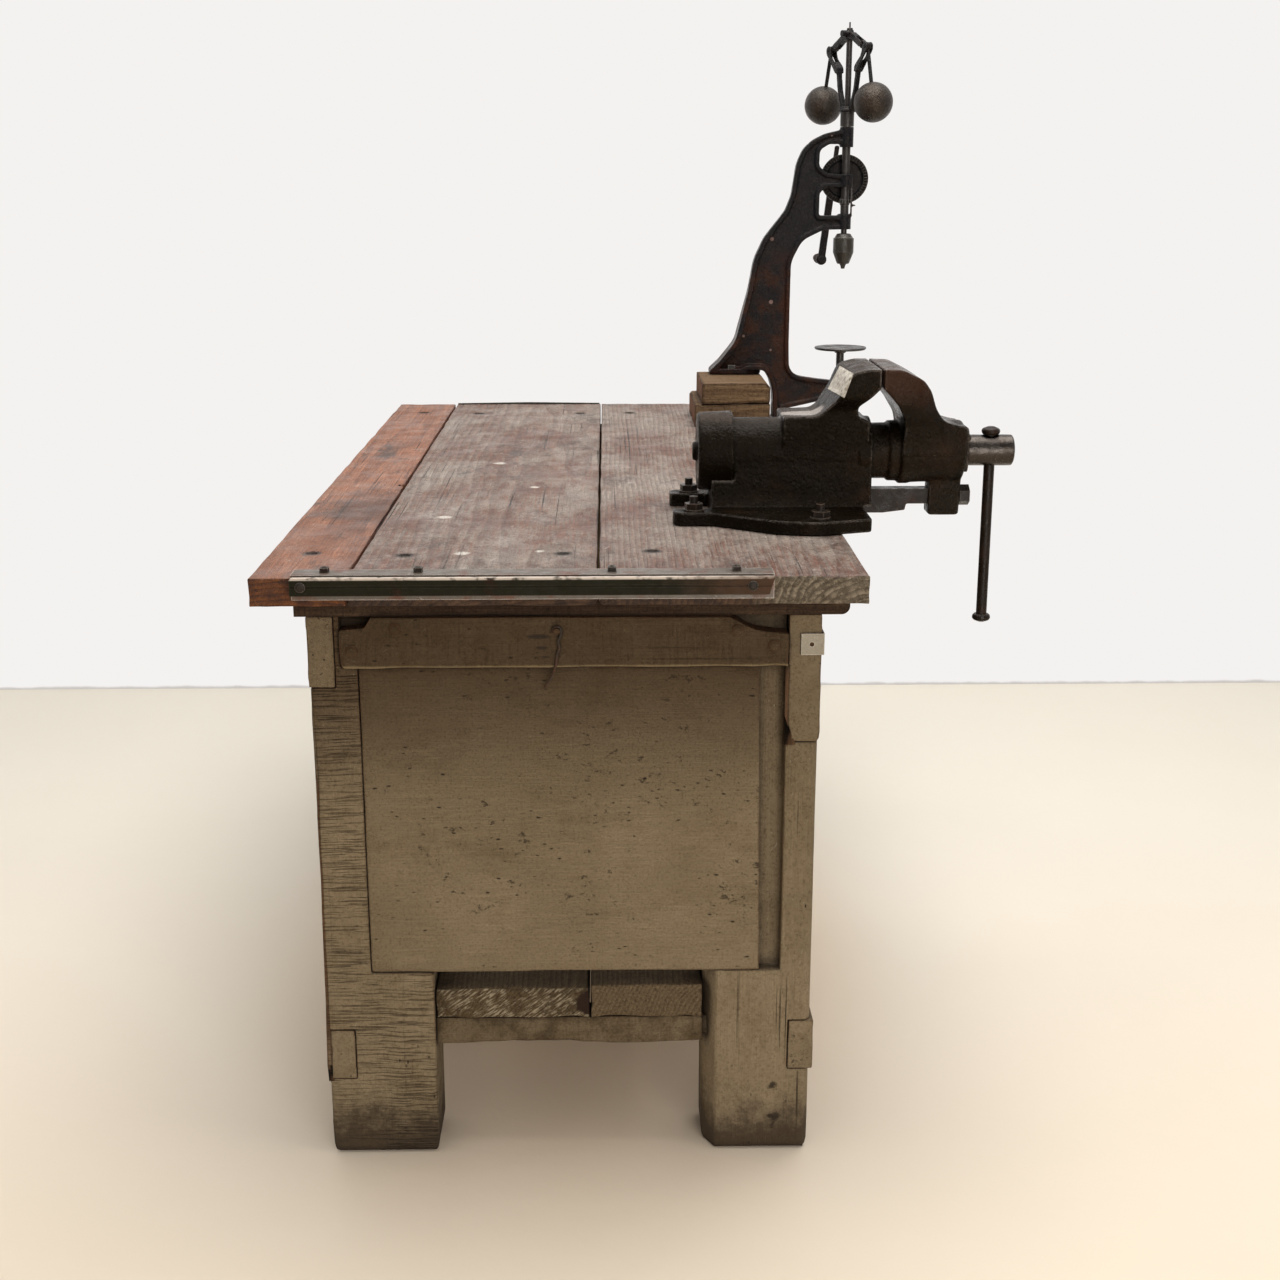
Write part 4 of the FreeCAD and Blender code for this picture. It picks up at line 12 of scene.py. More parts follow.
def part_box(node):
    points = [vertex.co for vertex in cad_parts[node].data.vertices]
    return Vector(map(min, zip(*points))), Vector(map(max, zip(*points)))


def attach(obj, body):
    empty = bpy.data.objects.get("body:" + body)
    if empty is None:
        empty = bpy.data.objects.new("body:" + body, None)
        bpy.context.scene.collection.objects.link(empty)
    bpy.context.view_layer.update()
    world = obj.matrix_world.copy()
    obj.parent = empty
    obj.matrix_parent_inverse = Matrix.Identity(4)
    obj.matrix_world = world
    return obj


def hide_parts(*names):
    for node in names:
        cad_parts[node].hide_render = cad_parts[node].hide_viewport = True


bl_info = {
    "name": "Old Workbench Dressing",
    "version": (1, 0, 0),
    "blender": (4, 5, 0),
    "location": "3D View > Sidebar > Workbench",
    "description": "Wood, paint and iron for an old workbench with a vise and a bench drill",
    "category": "Object",
}

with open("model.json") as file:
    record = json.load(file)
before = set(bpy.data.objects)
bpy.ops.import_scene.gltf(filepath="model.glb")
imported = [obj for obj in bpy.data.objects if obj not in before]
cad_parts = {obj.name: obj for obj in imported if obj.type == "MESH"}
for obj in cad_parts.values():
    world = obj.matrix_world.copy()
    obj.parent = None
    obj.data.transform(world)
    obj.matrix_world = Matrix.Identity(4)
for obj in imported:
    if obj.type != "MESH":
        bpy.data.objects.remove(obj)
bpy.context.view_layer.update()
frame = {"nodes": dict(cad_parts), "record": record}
NODES = frame["nodes"]

FRAME_PIXELS = 1280

# The driving places of the bench, read from the frame.
BENCH_LOW, BENCH_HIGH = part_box("top_plank_left")[0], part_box("top_plank_right")[1]
BENCH_MIDDLE = Vector(((BENCH_LOW.x + BENCH_HIGH.x) / 2, (BENCH_LOW.y + BENCH_HIGH.y) / 2, 0))
TOP_Z = BENCH_HIGH.z
BASE_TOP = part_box("leg_near_left")[1].z

# Marks, each by its pixel in the 1280-pixel frame. A third value is its size in metres.
OILED_PATCH = (372, 510)
FILLER_SMEARS = (
    (500, 463, 0.017), (535, 487, 0.014), (445, 517, 0.018), (462, 553, 0.016), (540, 551, 0.012),
)
APRON_DASHES = ((538, 637, 0.010), (541, 648, 0.007), (545, 657, 0.005))
LEG_KNOTS = ((773, 1085, 0.013), (760, 1104, 0.007), (774.5, 1118, 0.015), (771, 1127, 0.009))
BOARD_NOTCH = (585, 1003)
VISE_SADDLE = (806, 413)
TAPE_CORNERS = ((840, 366), (853.5, 374), (844.5, 398), (828, 389))
COLUMN_SCREWS = (
    (772, 239, 0.0045), (771, 302, 0.0050), (743.5, 336, 0.0035), (770.5, 350, 0.0030), (832, 136, 0.0025),
)

# How boards and castings are worn.
SAME_POINT = 2e-5
EDGE_ZONE = 0.004
SHORTEST_ROUNDED = 0.018
SHARP_ANGLE = math.radians(32)
ALL_FIGURES = ("Fibre", "Rings", "Cracks", "Clouds")


# ---------------------------------------------------------------- settings
def colour(name, description, default):
    return bpy.props.FloatVectorProperty(
        name=name, description=description, subtype="COLOR", size=3, min=0, max=1, default=default
    )


def length(name, description, default):
    return bpy.props.FloatProperty(name=name, description=description, unit="LENGTH", min=0, default=default)


class WoodSettings(bpy.types.PropertyGroup):
    """Colours and sizes of the stained top and the painted base."""

    stain: colour("Stain", "Red-brown stain of the top", (0.170, 0.076, 0.046))
    orange_stain: colour("Orange stain", "Brighter stain left on the outer plank", (0.320, 0.128, 0.062))
    rubbed: colour("Rubbed wood", "Grey-brown wood where the stain has gone", (0.335, 0.278, 0.232))
    paint: colour("Paint", "Olive-grey paint of the base", (0.238, 0.178, 0.106))
    # Darker paint just under the top: painted shade, standing for the shade the top's overhang casts on the
    # base.
    top_shaded_paint: colour("Grimy paint", "Paint darkened by hands under the top", (0.074, 0.046, 0.022))
    under_paint: colour("Under the paint", "Brown wood under the chipped paint", (0.060, 0.028, 0.012))
    bare: colour("Bare boards", "Dusty wood of the shelf boards", (0.170, 0.120, 0.065))
    block: colour("Packing blocks", "Orange-brown wood of the packing blocks", (0.240, 0.150, 0.078))
    edge_round: length("Edge rounding", "How far the boards' edges are worn round", 0.0022)
    wobble: length("Unevenness", "How far the boards' faces depart from flat", 0.0006)


class IronSettings(bpy.types.PropertyGroup):
    """Colours and sizes of the castings and the steel."""

    cast: colour("Vise iron", "Brown-black casting of the vise", (0.0042, 0.0027, 0.0012))
    bright: colour("Bright iron", "Metal rubbed bare on corners", (0.200, 0.170, 0.145))
    japan: colour("Japan", "Blue-black enamel of the drill", (0.0055, 0.0062, 0.0085))
    rust: colour("Rust", "Rust-brown under the enamel", (0.026, 0.0095, 0.0055))
    grain: length("Casting grain", "Height of the rough skin of a casting", 0.00035)
    voxel: length("Casting mesh", "Cell size when a casting is rounded off", 0.0018)


class StageSettings(bpy.types.PropertyGroup):
    """The studio round the bench."""

    wall: colour("Wall", "Colour of the wall as seen", (0.905, 0.885, 0.870))
    # The two floor colours, blended from front to back, paint the falloff of the light across the floor.
    floor: colour("Floor", "Colour of the floor near the wall", (0.700, 0.655, 0.572))
    floor_near: colour("Near floor", "Colour of the floor in front", (0.745, 0.620, 0.470))
    wall_distance: length("Wall distance", "From the bench's middle to the wall", 1.50)
    key_power: bpy.props.FloatProperty(
        name="Key lamp", description="Power of the lamp above", unit="POWER", default=105
    )
    fill_power: bpy.props.FloatProperty(
        name="Fill lamp", description="Power of the lamp in front", unit="POWER", default=70
    )
    sky: bpy.props.FloatProperty(
        name="Sky", description="Strength of the light from all round", min=0, default=0.66
    )


# ---------------------------------------------------------------- camera
CAMERA_PLACE = BENCH_MIDDLE + Vector((0.0604, -2.972, 1.3459))
CAMERA_PITCH = math.radians(15.216)
CAMERA_YAW = math.radians(1.104)
CAMERA_LENS = 48.46
SENSOR = 36.0


def camera_ray(px, py):
    """Direction from the camera through a pixel of the 1280-pixel frame."""
    turn = Euler((math.pi / 2 - CAMERA_PITCH, 0, -CAMERA_YAW)).to_matrix()
    right, down = ((value / FRAME_PIXELS - 0.5) * SENSOR for value in (px, py))
    return (turn @ Vector((right, -down, -CAMERA_LENS))).normalized()


def surface_point(node, px, py):
    """Where the ray through a pixel first meets a node's solid, and which way the solid faces there."""
    mesh = NODES[node].data
    corners, faces = [vert.co for vert in mesh.vertices], [face.vertices for face in mesh.polygons]
    solid = BVHTree.FromPolygons(corners, faces)
    place, normal = solid.ray_cast(CAMERA_PLACE, camera_ray(px, py))[:2]
    if place is None:
        raise RuntimeError("the ray through %s, %s misses %s" % (px, py, node))
    return place, normal


def solid_middles(node):
    """The middle of each separate solid of a node."""
    form = bmesh.new()
    form.from_mesh(NODES[node].data)
    bmesh.ops.remove_doubles(form, verts=form.verts, dist=SAME_POINT)
    middles, seen = [], set()
    for start in form.verts:
        if start in seen:
            continue
        island, waiting = [], [start]
        seen.add(start)
        while waiting:
            vert = waiting.pop()
            island.append(vert.co)
            for edge in vert.link_edges:
                other = edge.other_vert(vert)
                if other not in seen:
                    seen.add(other)
                    waiting.append(other)
        low, high = (Vector([pick(co[axis] for co in island) for axis in range(3)]) for pick in (min, max))
        middles.append((low + high) / 2)
    form.free()
    return middles


# ---------------------------------------------------------------- words for node trees
class Graph:
    """Places and joins the nodes of one tree."""

    def __init__(self, tree):
        self.tree = tree

    def node(self, kind, **settings):
        made = self.tree.nodes.new(kind)
        for name, value in settings.items():
            setattr(made, name, value)
        return made

    def feed(self, socket, value):
        if isinstance(value, bpy.types.NodeSocket):
            self.tree.links.new(value, socket)
        elif socket.type == "RGBA" and len(value) == 3:
            socket.default_value = (*value, 1)
        else:
            socket.default_value = value

    def fill(self, made, *values):
        """Feeds a node's inputs in their order and gives its first output."""
        for socket, value in zip(made.inputs, values):
            self.feed(socket, value)
        return made.outputs[0]

    def math(self, operation, first, second=0.0, third=0.0, clamp=False):
        made = self.node("ShaderNodeMath", operation=operation, use_clamp=clamp)
        return self.fill(made, first, second, third)

    def times(self, first, second):
        return self.math("MULTIPLY", first, second)

    def added(self, value, amount, base):
        """The base with this amount of a value added."""
        return self.math("MULTIPLY_ADD", value, amount, base)

    def vector(self, operation, first, second=(0, 0, 0)):
        made = self.node("ShaderNodeVectorMath", operation=operation)
        self.fill(made, first, second)
        return made.outputs["Value" if operation in ("DOT_PRODUCT", "LENGTH", "DISTANCE") else "Vector"]

    def stretched(self, vector, factors):
        return self.vector("MULTIPLY", vector, factors)

    def mix(self, factor, first, second, blend="MIX"):
        made = self.node("ShaderNodeMix", data_type="RGBA", blend_type=blend)
        for index, value in ((0, factor), (6, first), (7, second)):
            self.feed(made.inputs[index], value)
        return made.outputs[2]

    def noise(self, vector, scale, detail=3.0, roughness=0.5, grain=None):
        """Noise, drawn out along Y when a share for that axis is given."""
        made = self.node("ShaderNodeTexNoise")
        vector = self.stretched(vector, (1, grain, 1)) if grain else vector
        given = {"Vector": vector, "Scale": scale, "Detail": detail, "Roughness": roughness}
        for name, value in given.items():
            self.feed(made.inputs[name], value)
        return made.outputs["Fac"]

    def between(self, value, low, high, to_low=0.0, to_high=1.0):
        made = self.node("ShaderNodeMapRange", interpolation_type="SMOOTHSTEP")
        return self.fill(made, value, low, high, to_low, to_high)

    def patches(self, vector, scale, detail, roughness, low, high, grain=None):
        """A mask of noise that rises between two levels."""
        return self.between(self.noise(vector, scale, detail, roughness, grain), low, high)

    def cells(self, vector, scale):
        made = self.node("ShaderNodeTexVoronoi")
        self.feed(made.inputs["Vector"], vector)
        self.feed(made.inputs["Scale"], scale)
        return made.outputs["Distance"]

    def parts(self, vector):
        made = self.node("ShaderNodeSeparateXYZ")
        self.feed(made.inputs[0], vector)
        return made.outputs

    def joined(self, x, y, z):
        return self.fill(self.node("ShaderNodeCombineXYZ"), x, y, z)

    def place(self):
        return self.node("ShaderNodeTexCoord").outputs["Object"]

    def facing(self, axis):
        """How far the surface looks along an axis, from -1 to 1."""
        return self.parts(self.node("ShaderNodeTexCoord").outputs["Normal"])["XYZ".index(axis)]

    def sides(self, axis):
        """One where the surface looks along an axis, either way."""
        return self.between(self.math("ABSOLUTE", self.facing(axis)), 0.6, 0.9)

    def cover(self, tone, mask, colour_over, amount=1.0):
        """The tone with a colour laid over it where the mask is one."""
        return self.mix(mask if amount == 1.0 else self.times(mask, amount), tone, colour_over)

    def shade(self, tone, mask, factors, amount=1.0):
        """The tone multiplied by these factors where the mask is one."""
        return self.cover(tone, mask, self.mix(1.0, tone, factors, "MULTIPLY"), amount)

    def relief(self, *layers):
        """The sum of some layers, each times its amount."""
        height = self.times(*layers[0])
        for layer, amount in layers[1:]:
            height = self.added(layer, amount, height)
        return height

    def group(self, name, output, **values):
        """A shared effect fed with these values, and its output or list of outputs."""
        made = self.node("ShaderNodeGroup", node_tree=shared(name))
        for socket, value in values.items():
            self.feed(made.inputs[socket.replace("_", " ").capitalize()], value)
        return made.outputs[output] if isinstance(output, str) else [made.outputs[key] for key in output]

    def timber(self, outputs, vector, heart, ring_gap, seed):
        return self.group("timber_figure", outputs, vector=vector, heart=heart, ring_gap=ring_gap, seed=seed)

    def worn(self, vector, reach, breakup, amount):
        return self.group("worn_edges", "Wear", vector=vector, reach=reach, breakup=breakup, amount=amount)

    def dirt(self, vector, reach, breakup):
        return self.group("corner_dirt_and_shade", "Dirt", vector=vector, reach=reach, breakup=breakup)

    def scratches(self, vector, scale, amount):
        return self.group("thin_scratches", "Scratch", vector=vector, scale=scale, amount=amount)

    def flecks(self, vector, scale, size, spread):
        return self.group("small_flecks", "Fleck", vector=vector, scale=scale, size=size, spread=spread)

    def ridges(self, vector, gap):
        return self.group("saw_ridges", "Ridge", vector=vector, gap=gap)


def effect(name, values, outputs, vectors=("Vector",)):
    """An empty node group with these sockets, and its graph, inlet and outlet."""
    tree = bpy.data.node_groups.new(name, "ShaderNodeTree")
    for socket in vectors:
        tree.interface.new_socket(name=socket, in_out="INPUT", socket_type="NodeSocketVector")
    for socket, default in values.items():
        made = tree.interface.new_socket(name=socket, in_out="INPUT", socket_type="NodeSocketFloat")
        made.default_value = default
    for socket in outputs:
        tree.interface.new_socket(name=socket, in_out="OUTPUT", socket_type="NodeSocketFloat")
    graph = Graph(tree)
    return tree, graph, graph.node("NodeGroupInput").outputs, graph.node("NodeGroupOutput").inputs


def timber_group():
    """Wood figure: fine fibres, growth rings round a heart and long open cracks. The grain runs along Y."""
    tree, graph, given, result = effect(
        "timber_figure", {"Ring gap": 0.007, "Seed": 0.0}, ALL_FIGURES, vectors=("Vector", "Heart")
    )
    x, y, z = graph.parts(given["Vector"])
    shifted = graph.joined(graph.math("ADD", x, given["Seed"]), y, z)
    graph.feed(result["Fibre"], graph.patches(shifted, 520, 4, 0.65, 0.32, 0.70, grain=0.02))
    wander = graph.noise(shifted, 9, 2, grain=0.12)
    across = graph.stretched(graph.vector("SUBTRACT", given["Vector"], given["Heart"]), (1, 0, 1))
    radius = graph.added(wander, 0.045, graph.vector("LENGTH", across))
    turns = graph.math("DIVIDE", radius, given["Ring gap"])
    saw = graph.math("FRACT", turns)
    graph.feed(result["Rings"], graph.times(graph.between(saw, 0.15, 0.95), graph.between(saw, 1.0, 0.95)))
    long_lines = graph.patches(shifted, 260, 2, 0.7, 0.62, 0.70, grain=0.006)
    here = graph.patches(shifted, 14, 1, 0.5, 0.45, 0.62, grain=0.3)
    graph.feed(result["Cracks"], graph.times(long_lines, here))
    graph.feed(result["Clouds"], graph.patches(shifted, 7, 4, 0.6, 0.30, 0.70, grain=0.35))
    return tree


def edge_group():
    """Bare or rubbed edges, broken up by noise."""
    tree, graph, given, result = effect(
        "worn_edges", {"Reach": 0.004, "Breakup": 90.0, "Amount": 0.5}, ("Wear",)
    )
    bevel = graph.node("ShaderNodeBevel", samples=6)
    graph.feed(bevel.inputs["Radius"], given["Reach"])
    normal = graph.node("ShaderNodeNewGeometry").outputs["Normal"]
    sharp = graph.math("SUBTRACT", 1.0, graph.vector("DOT_PRODUCT", bevel.outputs[0], normal))
    broken = graph.noise(given["Vector"], given["Breakup"], 4, 0.65)
    pushed = graph.math("ADD", graph.times(sharp, 3.0), graph.math("SUBTRACT", broken, 0.5))
    level = graph.math("SUBTRACT", 0.75, graph.times(given["Amount"], 0.75))
    rubbed = graph.between(pushed, level, graph.math("ADD", level, 0.14))
    graph.feed(result["Wear"], graph.times(rubbed, graph.between(sharp, 0.018, 0.07)))
    return tree


def corner_dirt_and_shade_group():
    """Dirt and painted shade in inner corners: darkens where ambient occlusion finds the surface closed in.
    """
    tree, graph, given, result = effect("corner_dirt_and_shade", {"Reach": 0.03, "Breakup": 40.0}, ("Dirt",))
    hidden = graph.node("ShaderNodeAmbientOcclusion", samples=6)
    graph.feed(hidden.inputs["Distance"], given["Reach"])
    closed = graph.math("SUBTRACT", 1.0, hidden.outputs["AO"])
    broken = graph.noise(given["Vector"], given["Breakup"], 4, 0.6)
    settled = graph.times(closed, graph.math("ADD", broken, 0.5))
    graph.feed(result["Dirt"], graph.between(settled, 0.12, 0.62))
    return tree


def scratch_group():
    """Thin scratches in three slanting directions."""
    tree, graph, given, result = effect("thin_scratches", {"Scale": 400.0, "Amount": 0.5}, ("Scratch",))
    marks = None
    for turn, squeeze in ((0.35, 0.05), (-0.9, 0.04), (1.9, 0.07)):
        mapping = graph.node("ShaderNodeMapping")
        graph.feed(mapping.inputs["Vector"], given["Vector"])
        mapping.inputs["Rotation"].default_value = (turn * 0.6, turn * 0.8, turn)
        line = graph.between(graph.noise(mapping.outputs[0], given["Scale"], 1, grain=squeeze), 0.715, 0.745)
        mark = graph.times(line, graph.patches(mapping.outputs[0], 22, 2, 0.5, 0.48, 0.58))
        marks = mark if marks is None else graph.math("MAXIMUM", marks, mark)
    graph.feed(result["Scratch"], graph.times(marks, given["Amount"]))
    return tree


def fleck_group():
    """Small uneven flecks: paint spots, nicks or rust pits."""
    sizes = {"Scale": 120.0, "Size": 0.2, "Spread": 0.6}
    tree, graph, given, result = effect("small_flecks", sizes, ("Fleck",))
    ragged = graph.noise(given["Vector"], graph.times(given["Scale"], 3.0), 2)
    spot = graph.math("ADD", graph.cells(given["Vector"], given["Scale"]), graph.times(ragged, 0.25))
    dot = graph.between(spot, graph.math("ADD", given["Size"], 0.16), graph.math("ADD", given["Size"], 0.06))
    where = graph.noise(given["Vector"], graph.times(given["Scale"], 0.11), 2)
    here = graph.between(where, given["Spread"], graph.math("ADD", given["Spread"], 0.06))
    graph.feed(result["Fleck"], graph.times(dot, here))
    return tree


def saw_group():
    """Ridges left by a saw, running across the grain, which is along Y."""
    tree, graph, given, result = effect("saw_ridges", {"Gap": 0.0035}, ("Ridge",))
    x, y, z = graph.parts(given["Vector"])
    bow = graph.noise(given["Vector"], 12, 2, grain=0.2)
    steps = graph.math("DIVIDE", graph.added(bow, 0.010, y), given["Gap"])
    flat = graph.joined(graph.times(x, 13.0), steps, graph.times(z, 13.0))
    lines = graph.patches(flat, 1.0, 3, 0.62, 0.52, 0.66)
    here = graph.between(graph.noise(given["Vector"], 13, 4, 0.6, grain=0.6), 0.34, 0.62, 0.25, 1.0)
    graph.feed(result["Ridge"], graph.times(lines, here))
    return tree


GROUP_MAKERS = {
    "timber_figure": timber_group,
    "worn_edges": edge_group,
    "corner_dirt_and_shade": corner_dirt_and_shade_group,
    "thin_scratches": scratch_group,
    "small_flecks": fleck_group,
    "saw_ridges": saw_group,
}


def shared(name):
    """The node group of this name, made the first time it is asked for."""
    return bpy.data.node_groups.get(name) or GROUP_MAKERS[name]()


# ---------------------------------------------------------------- finishes
def empty_finish(name):
    material = bpy.data.materials.new(name)
    material.use_nodes = True
    tree = material.node_tree
    tree.nodes.clear()
    graph = Graph(tree)
    shader = graph.node("ShaderNodeBsdfPrincipled")
    outlet = graph.node("ShaderNodeOutputMaterial")
    tree.links.new(shader.outputs[0], outlet.inputs["Surface"])
    return material, graph, shader.inputs


def bump(graph, surface, height, distance, rounding=0.0):
    made = graph.node("ShaderNodeBump")
    made.inputs["Distance"].default_value = distance
    graph.feed(made.inputs["Height"], height)
    if rounding:
        bevel = graph.node("ShaderNodeBevel", samples=4)
        bevel.inputs["Radius"].default_value = rounding
        graph.feed(made.inputs["Normal"], bevel.outputs[0])
    graph.feed(surface["Normal"], made.outputs[0])


def settle(graph, surface, tone, roughness, gleam, height, depth, rounding=0.0):
    """Joins the colour, the roughness, the gleam and the relief to the shader."""
    graph.feed(surface["Base Color"], tone)
    graph.feed(surface["Roughness"], roughness)
    surface["Specular IOR Level"].default_value = gleam
    bump(graph, surface, height, depth, rounding)


def along(graph, grain):
    """Object coordinates turned so that the grain axis is Y."""
    x, y, z = graph.parts(graph.place())
    return graph.joined(*{"x": (y, x, z), "y": (x, y, z), "z": (x, z, y)}[grain])


def near_point(graph, place, point, reach, softness=0.5):
    """One inside a ball round a point, falling to nothing at its edge."""
    distance = graph.vector("DISTANCE", place, tuple(point))
    return graph.between(distance, reach, reach * (1 - softness))


def ragged_distance(graph, place, point, uneven, squash=(1, 1, 1)):
    """Distance from a point in a space squashed by these factors, with something uneven added."""
    centre = tuple(value * factor for value, factor in zip(point, squash))
    return graph.math("ADD", graph.vector("DISTANCE", graph.stretched(place, squash), centre), uneven)


def blots(graph, place, tone, node, spots, uneven, rim, colour_over, amount, squash=(1, 1, 1)):
    """The tone with ragged marks on a node. The rim says where a mark starts and is full, past its size."""
    for px, py, size in spots:
        distance = ragged_distance(graph, place, surface_point(node, px, py)[0], uneven, squash)
        tone = graph.cover(tone, graph.between(distance, size + rim[0], size + rim[1]), colour_over, amount)
    return tone


def plain(graph, place, tone):
    """No extra marks."""
    return tone


def stained_wood(
    name, fresh, rubbed, heart, seed, wear, end_tone=(0.100, 0.050, 0.024), pale_end=None, extras=plain
):
    """Stained plank: stain rubbed through along the middle, oil marks, cracks, white flecks, dark ends."""
    material, graph, surface = empty_finish(name)
    place = graph.place()
    fibre, rings, cracks = graph.timber(ALL_FIGURES[:3], place, heart, 0.0085, seed)
    streak = graph.shade(fresh, fibre, (0.46, 0.38, 0.34), 0.85)
    streak = graph.shade(streak, rings, (0.50, 0.44, 0.42), 0.55)
    worn_tone = graph.shade(rubbed, fibre, (0.50, 0.45, 0.42), 0.85)
    worn_tone = graph.shade(worn_tone, rings, (0.52, 0.48, 0.46), 0.5)
    rubbing = graph.noise(place, 6.0, 11, 0.80, grain=0.45)
    rubbing = graph.math("ADD", rubbing, graph.times(graph.math("SUBTRACT", fibre, 0.5), 0.16))
    worn = graph.between(rubbing, 0.66 - 0.36 * wear, 0.86 - 0.36 * wear)
    tone = graph.mix(worn, streak, worn_tone)
    pale = graph.patches(place, 9.0, 10, 0.80, 0.54, 0.66, grain=0.6)
    tone = graph.cover(tone, pale, (0.44, 0.39, 0.35), 0.42 * wear)
    oil = graph.patches(place, 8, 11, 0.78, 0.53, 0.66, grain=0.55)
    tone = graph.cover(tone, oil, (0.036, 0.021, 0.014), 0.78)
    grit = graph.noise(place, 210, 5, 0.75, grain=0.5)
    tone = graph.shade(tone, graph.between(grit, 0.50, 0.62), (0.42, 0.36, 0.32), 0.65)
    tone = graph.cover(tone, cracks, (0.010, 0.006, 0.004), 0.9)
    dark_spots = graph.flecks(place, 105.0, 0.06, 0.45)
    tone = graph.cover(tone, dark_spots, (0.016, 0.010, 0.007), 0.8)
    fine, coarse = graph.flecks(place, 190.0, 0.10, 0.53), graph.flecks(place, 34.0, 0.05, 0.57)
    tone = graph.cover(tone, graph.math("MAXIMUM", fine, coarse), (0.55, 0.50, 0.45), 0.6)
    tone = graph.cover(tone, graph.scratches(place, 300.0, 0.6), (0.42, 0.35, 0.30))
    tone = graph.cover(tone, graph.worn(place, 0.006, 60.0, 0.64), (0.030, 0.016, 0.010), 0.8)
    seen_from_above = graph.stretched(place, (1, 1, 0))
    for screw in solid_middles("plank_screws"):
        ring = near_point(graph, seen_from_above, (screw.x, screw.y, 0), 0.017)
        tone = graph.cover(tone, ring, (0.018, 0.010, 0.007), 0.85)
    chips = graph.patches(place, 130, 7, 0.80, 0.42, 0.58)
    end_wood = graph.shade(end_tone, rings, (0.40, 0.34, 0.30), 0.75)
    end_wood = graph.shade(end_wood, graph.patches(place, 30, 8, 0.75, 0.42, 0.60), (0.40, 0.34, 0.28))
    end_wood = graph.shade(end_wood, chips, (0.5, 0.45, 0.4), 0.5)
    if pale_end:
        raw = graph.mix(chips, (0.085, 0.060, 0.034), (0.250, 0.198, 0.132))
        raw = graph.cover(raw, rings, (0.050, 0.033, 0.018), 0.7)
        beyond = graph.between(graph.parts(place)[0], pale_end, pale_end + 0.05)
        end_wood = graph.mix(beyond, end_wood, raw)
    tone = graph.mix(graph.sides("Y"), tone, end_wood)
    # Painted shade: the sides of the planks, which face along X, are darkened.
    tone = graph.shade(tone, graph.sides("X"), (0.62, 0.52, 0.46))
    gloss = graph.between(graph.noise(place, 22, 4), 0.3, 0.7, 0.38, 0.62)
    roughness = graph.math("MULTIPLY_ADD", worn, 0.12, gloss, clamp=True)
    height = graph.relief(
        (fibre, -0.5), (cracks, -1.8), (graph.noise(place, 60, 6, 0.6), 1.0), (rings, -0.4),
        (dark_spots, -0.9), (grit, 0.8),
    )
    settle(graph, surface, extras(graph, place, tone), roughness, 0.42, height, 0.0014)
    return material


